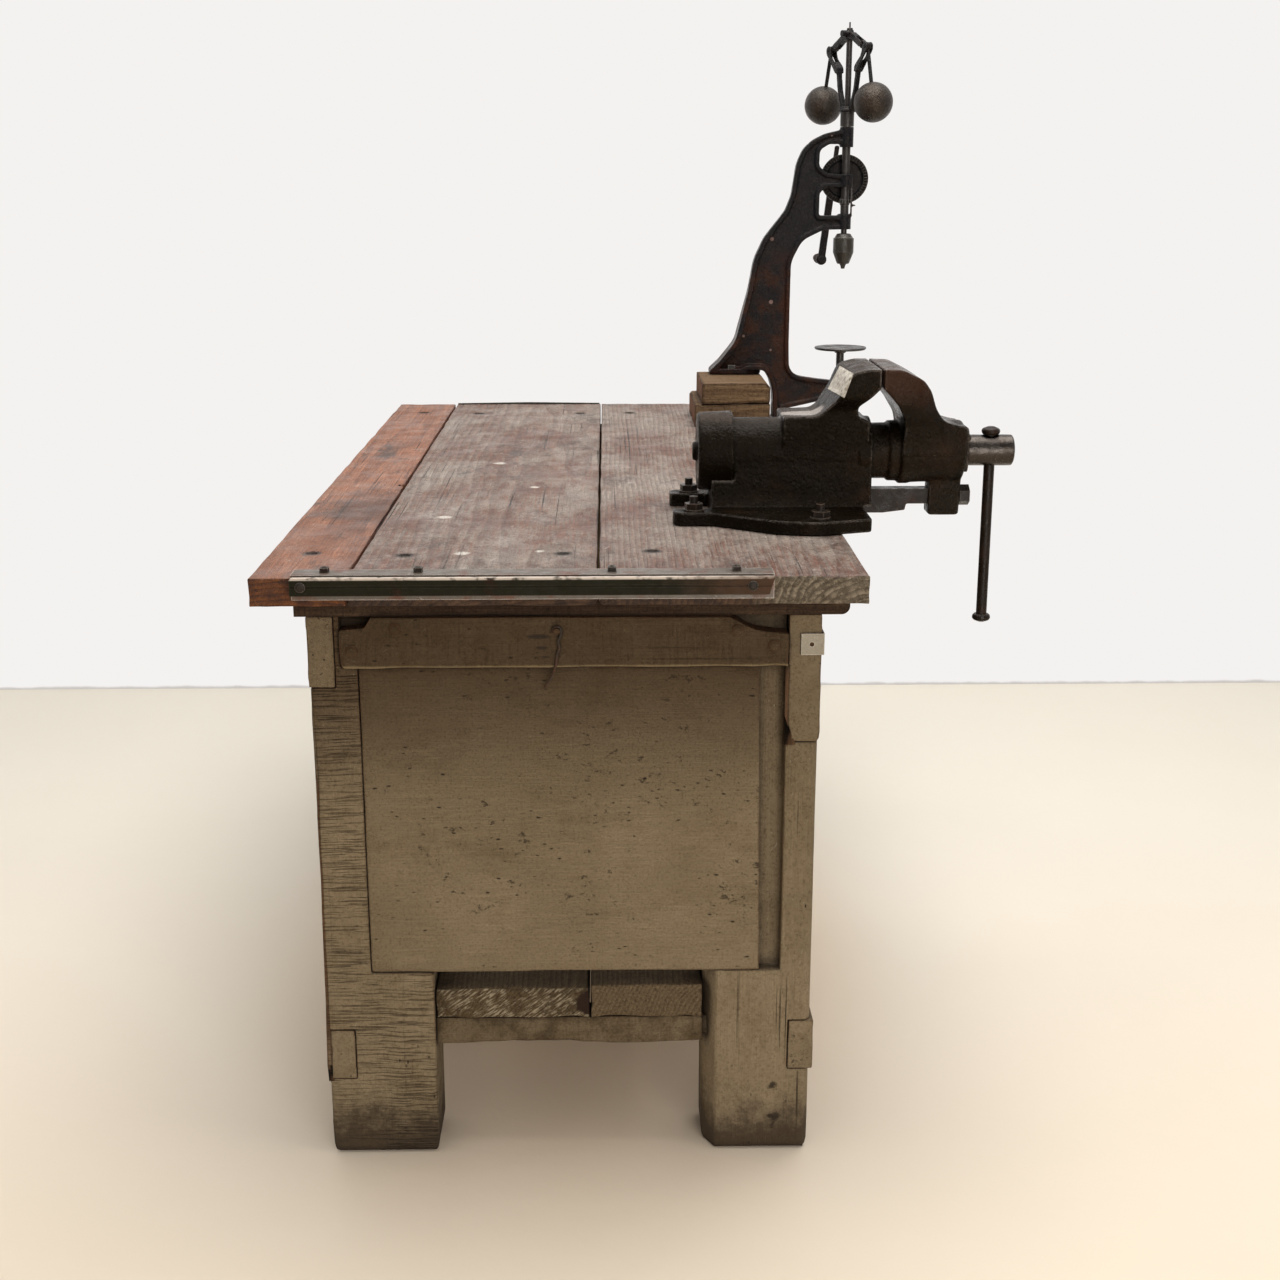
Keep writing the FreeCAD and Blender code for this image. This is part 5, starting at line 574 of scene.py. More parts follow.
def painted_wood(
    name, wood, grain, sawn=0.6, chipped=0.5, cracked=0.3, scratched=0.3, nicked=0.5, top_shade=1.0, foot=False,
    seed=0.0, extras=plain,
):
    """Old paint on boards: saw ridges, thin spots, chips down to the wood, dirt and painted shade in inner
    corners, and painted shade darkening the paint just under the top.
    """
    material, graph, surface = empty_finish(name)
    place = graph.place()
    z = graph.parts(place)[2]
    turned = along(graph, grain)
    fibre, cracks = graph.timber(("Fibre", "Cracks"), turned, (0.4, 0, 0.3), 0.011, seed)
    ridge = graph.ridges(turned, 0.0026)
    broad = graph.noise(place, 4.5, 6, 0.62)
    # Painted shade: the paint turns to the darker colour towards the top of the base, as if shaded by the
    # overhanging top.
    top_shade_mask = graph.between(graph.added(broad, 0.12, z), BASE_TOP - 0.26, BASE_TOP + 0.02, 0.0, top_shade)
    tone = graph.mix(top_shade_mask, tuple(wood.paint), tuple(wood.top_shaded_paint))
    tone = graph.shade(tone, graph.between(broad, 0.66, 0.34), (0.80, 0.79, 0.76))
    tone = graph.shade(tone, fibre, (0.56, 0.52, 0.47), 0.30 * (1 - 0.7 * sawn))
    tone = graph.shade(tone, ridge, (0.42, 0.36, 0.29), 0.62 * sawn)
    smear = graph.patches(turned, 14, 8, 0.75, 0.48, 0.70, grain=0.5)
    tone = graph.shade(tone, smear, (0.55, 0.49, 0.40), 0.30 + 0.35 * chipped)
    grit = graph.noise(place, 300, 4, 0.75)
    tone = graph.shade(tone, graph.between(grit, 0.50, 0.64), (0.50, 0.45, 0.38), 0.60)
    tone = graph.shade(tone, graph.between(grit, 0.42, 0.30), (1.55, 1.55, 1.55), 0.50)
    level = graph.added(graph.noise(place, 8, 4, 0.6), -0.22, 0.800 - 0.06 * nicked)
    specks = graph.noise(turned, 95, 6, 0.78, grain=0.6)
    specks = graph.between(specks, level, graph.math("ADD", level, 0.035))
    tone = graph.cover(tone, specks, (0.040, 0.027, 0.015), 0.8)
    nicks = graph.flecks(graph.stretched(turned, (1, 0.40, 1)), 105.0, 0.12, 0.62 - 0.12 * nicked)
    tone = graph.cover(tone, nicks, (0.020, 0.013, 0.007), 0.92)
    chips = graph.patches(turned, 42, 7, 0.75, 0.745 - 0.09 * chipped, 0.760 - 0.09 * chipped, grain=0.4)
    raw = graph.shade(tuple(wood.under_paint), fibre, (2.4, 2.3, 2.2))
    tone = graph.cover(tone, chips, raw, 0.85)
    tone = graph.cover(tone, cracks, (0.012, 0.008, 0.005), cracked)
    tone = graph.cover(tone, graph.scratches(turned, 420.0, scratched), (0.36, 0.30, 0.20))
    raw_edge = graph.mix(1.0, raw, (0.7, 0.7, 0.7), "MULTIPLY")
    tone = graph.cover(tone, graph.worn(place, 0.006, 75.0, 0.60), raw_edge, 0.9)
    # Dirt and painted shade darken the inner corners.
    tone = graph.cover(tone, graph.dirt(place, 0.022, 45.0), (0.016, 0.009, 0.005), 0.80)
    if foot:
        low = graph.added(graph.noise(place, 28, 7, 0.75), -0.16, z)
        tone = graph.cover(tone, graph.between(low, 0.018, -0.055), (0.034, 0.020, 0.011), 0.85)
    roughness = graph.between(graph.noise(place, 30), 0.3, 0.7, 0.55, 0.78)
    height = graph.relief(
        (fibre, -0.4 * (1 - 0.6 * sawn)), (ridge, -1.5 * sawn), (graph.math("MAXIMUM", nicks, chips), -1.0),
        (specks, -0.7), (cracks, -1.6 * cracked), (graph.noise(place, 48, 6, 0.6), 1.0), (grit, 0.7),
    )
    settle(graph, surface, extras(graph, place, tone), roughness, 0.18, height, 0.0017)
    return material


def bare_wood(name, grain, tone_light, tone_dark, heart, seed, dirt=0.5, extras=plain):
    """Unfinished wood, dusty and darkened along its edges."""
    material, graph, surface = empty_finish(name)
    place = graph.place()
    turned = along(graph, grain)
    fibre, rings, cracks, clouds = graph.timber(ALL_FIGURES, turned, heart, 0.006, seed)
    ridge = graph.ridges(turned, 0.004)
    tone = graph.cover(tone_light, fibre, tone_dark, 0.75)
    tone = graph.shade(tone, rings, (0.5, 0.42, 0.36), 0.5)
    tone = graph.shade(tone, clouds, (0.6, 0.58, 0.55), 0.4)
    tone = graph.shade(tone, ridge, (0.5, 0.45, 0.4), 0.3)
    grit = graph.noise(place, 240, 5, 0.75)
    tone = graph.shade(tone, graph.between(grit, 0.50, 0.62), (0.42, 0.35, 0.30), 0.7)
    tone = graph.shade(tone, graph.between(grit, 0.42, 0.32), (1.7, 1.65, 1.55), 0.6)
    tone = graph.cover(tone, graph.flecks(place, 170.0, 0.14, 0.5), (0.025, 0.014, 0.008), 0.7)
    tone = graph.cover(tone, cracks, (0.012, 0.007, 0.004), 0.9)
    tone = graph.shade(tone, graph.worn(place, 0.006, 70.0, 0.55), (0.35, 0.3, 0.26), 0.6)
    # Dirt and painted shade darken the inner corners.
    tone = graph.cover(tone, graph.dirt(place, 0.04, 35.0), (0.018, 0.010, 0.006), dirt)
    height = graph.relief(
        (fibre, -0.5), (ridge, -0.7), (cracks, -1.6), (graph.noise(place, 70, 5), 0.8), (grit, 0.8)
    )
    settle(graph, surface, extras(graph, place, tone), 0.75, 0.18, height, 0.0014)
    return material


def cast_iron(name, skin, brown, bright, shine, wear, rusty, reach=0.004, gleam=0.12, extras=plain):
    """Rough casting: mottled dark skin with bright specks painted as glints, rust bloom, rubbed bright
    corners, and grease and painted shade in the corners.
    """
    material, graph, surface = empty_finish(name)
    place = graph.place()
    bloom = graph.patches(place, 11, 6, 0.62, 0.62 - 0.3 * rusty, 0.86 - 0.3 * rusty)
    tone = graph.mix(bloom, skin, brown)
    # Painted glints: small bright specks standing for sparkles of light on the rough skin.
    tone = graph.shade(tone, graph.patches(place, 330, 4, 0.75, 0.56, 0.68), (5.5, 4.6, 3.6), 0.5)
    edge = graph.times(graph.worn(place, reach, 130.0, wear), 0.85)
    rub = graph.times(graph.patches(place, 38, 6, 0.72, 0.70, 0.78), 0.25)
    bare = graph.math("MAXIMUM", graph.math("MAXIMUM", edge, rub), graph.scratches(place, 500.0, 0.12))
    tone = graph.mix(bare, tone, bright)
    # Grease and painted shade darken the inner corners.
    grease_and_shade = graph.dirt(place, 0.012, 80.0)
    tone = graph.cover(tone, grease_and_shade, (0.0045, 0.0030, 0.0018), 0.8)
    surface["Specular Tint"].default_value = (1.0, 0.84, 0.68, 1.0)
    cloudy = graph.between(graph.noise(place, 45, 5), 0.3, 0.7, shine - 0.10, shine + 0.16)
    roughness = graph.math("SUBTRACT", cloudy, graph.times(bare, 0.08))
    roughness = graph.math("ADD", roughness, graph.times(grease_and_shade, 0.25), clamp=True)
    pits = graph.flecks(place, 210.0, 0.22, 0.47)
    height = graph.relief((graph.noise(place, 260, 4, 0.6), 1.0), (graph.noise(place, 75), 1.2), (pits, -0.8))
    settle(graph, surface, extras(graph, place, tone), roughness, gleam, height, 0.0015, rounding=0.0012)
    return material


def old_steel(
    name, face, edge, rust_tone, rusty=0.4, shine=0.38, metallic=0.75, wear=0.6, gleam=0.5, extras=plain
):
    """Bars, screws and spindles: dull metal, brown film, lighter rubbed edges."""
    material, graph, surface = empty_finish(name)
    place = graph.place()
    film = graph.patches(place, 24, 6, 0.66, 0.66 - 0.34 * rusty, 0.88 - 0.34 * rusty)
    tone = graph.mix(film, face, rust_tone)
    tone = graph.shade(tone, graph.patches(place, 380, 3, 0.7, 0.45, 0.75), (0.5, 0.45, 0.42), 0.4)
    worn = graph.times(graph.worn(place, 0.0025, 160.0, wear), 0.9)
    tone = graph.mix(graph.math("MAXIMUM", worn, graph.scratches(place, 600.0, 0.4)), tone, edge)
    # Dirt and painted shade darken the inner corners.
    tone = graph.cover(tone, graph.dirt(place, 0.008, 120.0), (0.012, 0.008, 0.005), 0.6)
    surface["Metallic"].default_value = metallic
    roughness = graph.between(graph.noise(place, 60, 5), 0.3, 0.7, shine - 0.08, shine + 0.2)
    height = graph.relief((graph.noise(place, 520), 1.0), (graph.noise(place, 110), 1.5))
    settle(graph, surface, extras(graph, place, tone), roughness, gleam, height, 0.0004, rounding=0.0007)
    return material


# ---------------------------------------------------------------- mesh words
def shaped(name, mesh_source, node, body, material, replaces=True):
    """A new piece that stands for a node of the frame, on that node's body."""
    piece = bpy.data.objects.new(name, mesh_source)
    bpy.context.scene.collection.objects.link(piece)
    piece.data.materials.clear()
    piece.data.materials.append(material)
    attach(piece, body)
    if replaces:
        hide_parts(node)
    return piece


def body_holding(node):
    return next(body for body, members in frame["record"]["behaviour"]["bodies"].items() if node in members)


def clean_copy(node):
    """The node's solid as a bmesh with whole flat faces."""
    form = bmesh.new()
    form.from_mesh(NODES[node].data)
    bmesh.ops.remove_doubles(form, verts=form.verts, dist=SAME_POINT)
    bmesh.ops.dissolve_limit(form, angle_limit=math.radians(1.5), verts=form.verts, edges=form.edges)
    return form


def round_long_edges(form, width):
    edges = [
        edge
        for edge in form.edges
        if len(edge.link_faces) == 2
        and edge.calc_length() > SHORTEST_ROUNDED
        and edge.calc_face_angle(0) > math.radians(40)
    ]
    bmesh.ops.bevel(
        form, geom=edges, offset=width, segments=2, profile=0.6, affect="EDGES", clamp_overlap=False
    )


def slice_across(form, low, high, steps, near_ends=(0.006, 0.014)):
    """Cuts the faces into strips, so that they can be made uneven."""
    for axis in range(3):
        span = high[axis] - low[axis]
        count = max(1, round(span / steps[axis]))
        cuts = [low[axis] + span * index / count for index in range(1, count)]
        for inset in near_ends:
            if span > 4 * inset:
                cuts += [low[axis] + inset, high[axis] - inset]
        direction = Vector([float(axis == other) for other in range(3)])
        for cut in cuts:
            everything = form.verts[:] + form.edges[:] + form.faces[:]
            bmesh.ops.bisect_plane(
                form, geom=everything, dist=1e-6, plane_co=direction * cut, plane_no=direction
            )


def wear_faces(form, low, high, wobble, seed, chip):
    """Moves points inward by smooth noise, and more at the edges, so that nothing grows outside the solid."""
    offset = Vector((seed * 3.1, seed * 1.7, seed * 2.3))
    form.normal_update()
    moves = []
    for vert in form.verts:
        sides = sum(
            min(vert.co[axis] - low[axis], high[axis] - vert.co[axis]) < EDGE_ZONE for axis in range(3)
        )
        smooth = 0.5 + 0.5 * noise.noise(vert.co * 14.0 + offset)
        depth = wobble * smooth
        if sides >= 2:
            rough = max(0.0, noise.noise(vert.co * 45 + offset) + 0.15)
            depth += wobble * chip * 2.2 * rough
        moves.append(vert.normal * -depth)
    for vert, move in zip(form.verts, moves):
        vert.co += move


def finish_mesh(form, name):
    mesh = bpy.data.meshes.new(name)
    bmesh.ops.triangulate(form, faces=[face for face in form.faces if len(face.verts) > 4])
    form.to_mesh(mesh)
    form.free()
    mesh.polygons.foreach_set("use_smooth", [True] * len(mesh.polygons))
    mesh.set_sharp_from_angle(angle=SHARP_ANGLE)
    return mesh


def worn_board(node, material, settings, steps, seed, shape=None, chip=1.5, rounding=1.0):
    """A board copied from its solid, with rounded worn edges and slightly uneven faces."""
    form = clean_copy(node)
    low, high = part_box(node)
    round_long_edges(form, settings.edge_round * rounding)
    slice_across(form, low, high, steps)
    wear_faces(form, low, high, settings.wobble, seed, chip)
    if shape:
        for vert in form.verts:
            shape(vert, low, high)
    return shaped("worn_" + node, finish_mesh(form, "worn_" + node), node, body_holding(node), material)


def cast_copy(node, material, settings, voxel=1.0, smooth=3, seed=0.0):
    """A casting copied from its solid, with all corners rounded off and a slightly rough skin."""
    source = bpy.data.objects.new("casting", NODES[node].data.copy())
    bpy.context.scene.collection.objects.link(source)
    remesh = source.modifiers.new("rounded", "REMESH")
    remesh.mode = "VOXEL"
    remesh.voxel_size = settings.voxel * voxel
    remesh.use_smooth_shade = True
    soften = source.modifiers.new("softened", "SMOOTH")
    soften.factor = 0.5
    soften.iterations = smooth
    thin = source.modifiers.new("thinned", "DECIMATE")
    thin.ratio = 0.5
    ready = bpy.context.evaluated_depsgraph_get()
    mesh = bpy.data.meshes.new_from_object(source.evaluated_get(ready))
    bpy.data.objects.remove(source)
    offset = Vector((seed, seed * 2, seed * 3))
    places = [vert.co.copy() for vert in mesh.vertices]
    inward = [vert.normal * -settings.grain for vert in mesh.vertices]
    rough = [co + step * (0.5 + 0.5 * noise.noise(co * 70 + offset)) for co, step in zip(places, inward)]
    mesh.vertices.foreach_set("co", [value for co in rough for value in co])
    mesh.polygons.foreach_set("use_smooth", [True] * len(mesh.polygons))
    mesh.name = "cast_" + node
    return shaped("cast_" + node, mesh, node, body_holding(node), material)


def paint_nodes(material, *nodes):
    for node in nodes:
        slots = NODES[node].data.materials
        slots.clear()
        slots.append(material)


# ---------------------------------------------------------------- operators
class BENCH_OT_top(bpy.types.Operator):
    """Dress the three planks of the top and their bearers in worn stained wood"""

    bl_idname = "bench.dress_top"
    bl_label = "Bench top"

    def execute(self, context):
        wood = context.scene.bench_wood
        below = BENCH_LOW.x + 0.05
        orange, stain, rubbed = tuple(wood.orange_stain), tuple(wood.stain), tuple(wood.rubbed)

        def brown_middle(graph, place, tone):
            """A dark oiled patch half way along the outer plank."""
            uneven = graph.times(graph.noise(place, 14, 8, 0.75), 0.32)
            middle = surface_point("top_plank_left", *OILED_PATCH)[0]
            distance = ragged_distance(graph, place, middle, uneven, (1.4, 0.62, 1))
            return graph.shade(tone, graph.between(distance, 0.30, 0.19), (0.30, 0.31, 0.33), 0.75)

        def white_smears(graph, place, tone):
            """Smears of old filler on the middle plank."""
            uneven = graph.times(graph.noise(place, 70, 6, 0.75), 0.018)
            rim, filler = (0.006, -0.002), (0.58, 0.53, 0.46)
            return blots(graph, place, tone, "top_plank_middle", FILLER_SMEARS, uneven, rim, filler, 0.8)

        left = stained_wood(
            "stain_outer_plank", orange, rubbed, (below, 0, TOP_Z - 0.25), 0.0, 0.26,
            end_tone=(0.200, 0.062, 0.010), extras=brown_middle,
        )
        middle = stained_wood(
            "stain_middle_plank", stain, rubbed, (below + 0.35, 0, TOP_Z - 0.32), 3.0, 0.74,
            extras=white_smears,
        )
        right = stained_wood(
            "stain_inner_plank", stain, rubbed, (below + 0.74, 0, TOP_Z - 0.085), 7.0, 0.80,
            pale_end=BENCH_HIGH.x - 0.16,
        )
        bearers = bare_wood(
            "stain_bearers", "x", (0.085, 0.050, 0.028), (0.036, 0.020, 0.011), (0, 0, 0.6), 9.0, dirt=0.8
        )
        chipped_depth, chipped_width = 0.010, 0.14

        def ragged_end(vert, low, high):
            """The sawn near end is chipped, most on the outer third."""
            depth = vert.co.y - low.y
            if depth < chipped_depth and vert.co.x > high.x - chipped_width:
                rough = max(0.0, noise.noise(vert.co * 70) + 0.25)
                vert.co.y += 0.0045 * rough * (1 - depth / chipped_depth)

        worn_board("top_plank_left", left, wood, (0.02, 0.05, 0.012), 1.0)
        worn_board("top_plank_middle", middle, wood, (0.03, 0.05, 0.012), 2.0)
        worn_board("top_plank_right", right, wood, (0.018, 0.06, 0.012), 3.0, shape=ragged_end)
        paint_nodes(bearers, "bearer_near", "bearer_far")
        return {"FINISHED"}


class BENCH_OT_base(bpy.types.Operator):
    """Dress the legs, aprons, panels and rails in old olive paint, and the shelf boards as bare wood"""

    bl_idname = "bench.dress_base"
    bl_label = "Bench base"

    def execute(self, context):
        wood = context.scene.bench_wood
        apron_low, apron_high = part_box("end_apron_near")

        def apron_marks(graph, place, tone):
            """Bare brown wood in the scooped corners, dark dashes, and a pale rubbed lower edge."""
            y, z = graph.parts(place)[1:]
            uneven = graph.noise(place, 60, 5, 0.7)
            face = apron_low.y
            scooped = graph.between(graph.added(uneven, 0.004, y), face + 0.0035, face + 0.0055)
            upper = graph.between(z, apron_high.z - 0.045, apron_high.z - 0.035)
            tone = graph.cover(tone, graph.times(scooped, upper), tuple(wood.under_paint))
            edge = graph.between(graph.added(uneven, 0.004, z), apron_low.z + 0.007, apron_low.z + 0.003)
            edge = graph.times(edge, graph.between(z, apron_low.z - 0.004, apron_low.z - 0.002))
            tone = blots(
                graph, place, tone, "end_apron_near", APRON_DASHES, graph.times(uneven, 0.010), (0.004, 0.0),
                (0.022, 0.014, 0.008), 0.85, squash=(0.5, 1, 2.2),
            )
            return graph.cover(tone, edge, (0.270, 0.200, 0.105), 0.65)

        def leg_knots(graph, place, tone):
            """Dark knots near the foot of the right-hand leg."""
            uneven = graph.times(graph.noise(place, 85, 6, 0.75), 0.030)
            rim, knot = (0.011, 0.003), (0.018, 0.011, 0.006)
            return blots(graph, place, tone, "leg_near_right", LEG_KNOTS, uneven, rim, knot, 0.9)

        def shaded_rail(graph, place, tone):
            """The rail under the boards is darkened in patches: painted shade under the boards."""
            patch = graph.between(graph.noise(place, 20, 7, 0.75), 0.40, 0.62, 0.45, 1.0)
            return graph.shade(tone, patch, (0.34, 0.30, 0.24))

        board_gap = (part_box("shelf_board_left")[1].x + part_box("shelf_board_right")[0].x) / 2
        leg_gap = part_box("leg_near_left")[1].x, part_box("leg_near_right")[0].x

        def hatched_end(graph, place, tone):
            """Slanting saw lines on the sawn end, and a dark notch in its upper corner, painted as shade."""
            x, y, z = graph.parts(place)
            along_cut = graph.math("ADD", graph.times(x, 0.80), graph.times(z, 0.60))
            across_cut = graph.math("ADD", graph.times(x, 0.60), graph.times(z, -0.80))
            lines = graph.joined(graph.times(along_cut, 60.0), graph.times(across_cut, 420.0), 0.0)
            hatch = graph.patches(lines, 1.0, 4, 0.6, 0.46, 0.58)
            sawn = graph.sides("Y")
            pale = graph.times(graph.times(hatch, sawn), graph.patches(place, 22, 6, 0.7, 0.36, 0.52))
            tone = graph.cover(graph.shade(tone, sawn, (0.62, 0.58, 0.50)), pale, (0.300, 0.245, 0.160))
            # Painted shade: a dark ragged patch at the gap between the boards stands for the shade inside a
            # notch.
            notch = surface_point("shelf_board_left", *BOARD_NOTCH)[0]
            uneven = graph.times(graph.noise(place, 60, 6, 0.75), 0.022)
            broken = ragged_distance(graph, place, (board_gap, notch.y, notch.z), uneven)
            return graph.cover(tone, graph.between(broken, 0.032, 0.028), (0.022, 0.010, 0.005))

        def swollen_boards(vert, low, high):
            """The boards have swollen until they almost touch each other and the legs."""
            for side, limit in ((low.x, leg_gap[0]), (high.x, leg_gap[1])):
                goal = board_gap if abs(side - board_gap) < abs(side - limit) else limit
                inside = 0.0008 if goal > side else -0.0008
                if abs(vert.co.x - side) < EDGE_ZONE and abs(goal - side) < 0.02:
                    vert.co.x += goal - side - inside

        foot_height, wane_height = 0.02, 0.012

        def worn_foot(vert, low, high):
            """The bottom corners of a foot are knocked round."""
            lift = vert.co.z - low.z
            if lift < foot_height:
                middle = (low + high) / 2
                for axis in (0, 1):
                    inward = (middle[axis] - vert.co[axis]) * 0.05
                    vert.co[axis] += inward * (1 - lift / foot_height) ** 2

        def wavy_bottom(vert, low, high):
            """The rail's lower edge follows the tree's wane."""
            lift = vert.co.z - low.z
            if lift < wane_height:
                across = (vert.co.x - low.x) / (high.x - low.x)
                vert.co.z += 0.0045 * (0.5 - 0.5 * math.cos(across * 9.0)) * (1 - lift / wane_height)

        sawn = painted_wood(
            "paint_sawn_legs", wood, "z", sawn=0.95, chipped=0.55, cracked=0.2, scratched=0.25, nicked=0.3,
            foot=True,
        )
        planed = painted_wood(
            "paint_planed_legs", wood, "z", sawn=0.12, chipped=0.60, cracked=0.85, scratched=0.5, top_shade=0.5,
            foot=True, seed=1.0, extras=leg_knots,
        )
        sides = painted_wood(
            "paint_side_aprons", wood, "y", sawn=0.2, chipped=0.7, cracked=0.4, top_shade=0.30, seed=11.0
        )
        ends = painted_wood(
            "paint_aprons", wood, "x", sawn=0.25, chipped=0.55, cracked=0.35, scratched=0.1, nicked=0.4,
            seed=2.0, extras=apron_marks,
        )
        panels = painted_wood(
            "paint_panels", wood, "x", sawn=0.10, cracked=0.0, scratched=0.08, nicked=1.0, seed=4.0
        )
        rails = painted_wood("paint_rails", wood, "y", sawn=0.5, chipped=0.7, cracked=0.6, seed=6.0)
        low_rails = painted_wood(
            "paint_low_rails", wood, "x", sawn=0.2, chipped=0.9, cracked=0.6, seed=8.0, extras=shaded_rail
        )
        heads = painted_wood("paint_bolt_heads", wood, "x", sawn=0.0, chipped=0.9, cracked=0.0, seed=9.0)
        bare = tuple(wood.bare)
        dark = tuple(0.5 * c for c in bare)
        boards = {
            "left": bare_wood("bare_left_board", "y", bare, dark, (0.0, 0.0, 0.1), 1.0, 0.8, hatched_end),
            "right": bare_wood("bare_right_board", "y", bare, dark, (0.2, 0.0, 0.1), 3.0, 0.8),
        }
        rows = (
            (4.0, ("leg_near_left", "leg_near_right", "leg_far_left", "leg_far_right"),
             (sawn, planed, sawn, planed), (0.03, 0.03, 0.045),
             {"shape": worn_foot, "chip": 2.2, "rounding": 1.5}),
            (9.0, ("end_apron_near", "end_apron_far", "front_apron", "back_apron"),
             (ends, ends, sides, sides), (0.045, 0.045, 0.02), {"chip": 2.0}),
            (14.0, ("end_panel_near", "end_panel_far"), (panels, panels), (0.05, 0.05, 0.05), {}),
            (17.0, ("side_stretcher_front", "side_stretcher_back"), (rails, rails), (0.03, 0.05, 0.02),
             {"chip": 2.5}),
            (20.0, ("lower_rail_near", "lower_rail_far"), (low_rails, low_rails), (0.02, 0.02, 0.012),
             {"shape": wavy_bottom, "chip": 3.0}),
            (23.0, ("shelf_board_left", "shelf_board_right"), (boards["left"], boards["right"]),
             (0.02, 0.06, 0.01), {"shape": swollen_boards, "chip": 3.0, "rounding": 1.3}),
        )
        for seed, nodes, finishes, steps, wear in rows:
            for index, (node, finish) in enumerate(zip(nodes, finishes)):
                worn_board(node, finish, wood, steps, seed + index, **wear)
        paint_nodes(heads, "end_fasteners")
        return {"FINISHED"}


class BENCH_OT_trim(bpy.types.Operator):
    """Finish the steel bar, angle, strips, strap, hook and screws of the bench"""

    bl_idname = "bench.dress_trim"
    bl_label = "Bench steel"

    def execute(self, context):
        rust = tuple(context.scene.bench_iron.rust)
        bar_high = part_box("clamp_bar")[1]

        def rubbed_top(graph, place, tone):
            """The upper edge is rubbed pale, and the right-hand end is rusty."""
            x, y, z = graph.parts(place)
            top = graph.between(z, bar_high.z - 0.0036, bar_high.z - 0.0016)
            tone = graph.cover(tone, top, (0.52, 0.44, 0.37), graph.patches(place, 90, 4, 0.5, 0.25, 0.55))
            ragged = graph.added(graph.noise(place, 40, 7, 0.75), 0.20, x)
            rusted = graph.between(ragged, bar_high.x - 0.06, bar_high.x + 0.10)
            return graph.cover(tone, rusted, (0.090, 0.045, 0.026), 0.60)

        paint_nodes(old_steel(
            "steel_clamp_bar", (0.0125, 0.0110, 0.0052), (0.045, 0.040, 0.024), rust, rusty=0.25, shine=0.5,
            metallic=0.0, wear=0.45, gleam=0.08, extras=rubbed_top,
        ), "clamp_bar")
        paint_nodes(old_steel(
            "steel_edge_angle", (0.11, 0.09, 0.07), (0.55, 0.47, 0.41), (0.11, 0.035, 0.015), rusty=0.5,
            metallic=0.2,
        ), "edge_angle")
        paint_nodes(old_steel(
            "steel_far_strip", (0.03, 0.028, 0.024), (0.33, 0.30, 0.25), rust, rusty=0.5, metallic=0.3
        ), "far_edge_strip")
        paint_nodes(old_steel(
            "steel_screws", (0.026, 0.020, 0.015), (0.22, 0.19, 0.16), rust, rusty=0.6, metallic=0.3,
            wear=0.45, gleam=0.2,
        ), "plank_screws", "bar_bolts")
        paint_nodes(old_steel(
            "steel_strap", (0.24, 0.205, 0.145), (0.48, 0.43, 0.36), (0.09, 0.055, 0.033), metallic=0.1
        ), "corner_strap")
        paint_nodes(old_steel(
            "steel_wire", (0.030, 0.023, 0.016), (0.20, 0.16, 0.11), (0.06, 0.027, 0.014), rusty=0.8,
            metallic=0.0, gleam=0.2,
        ), "wire_hook")
        return {"FINISHED"}


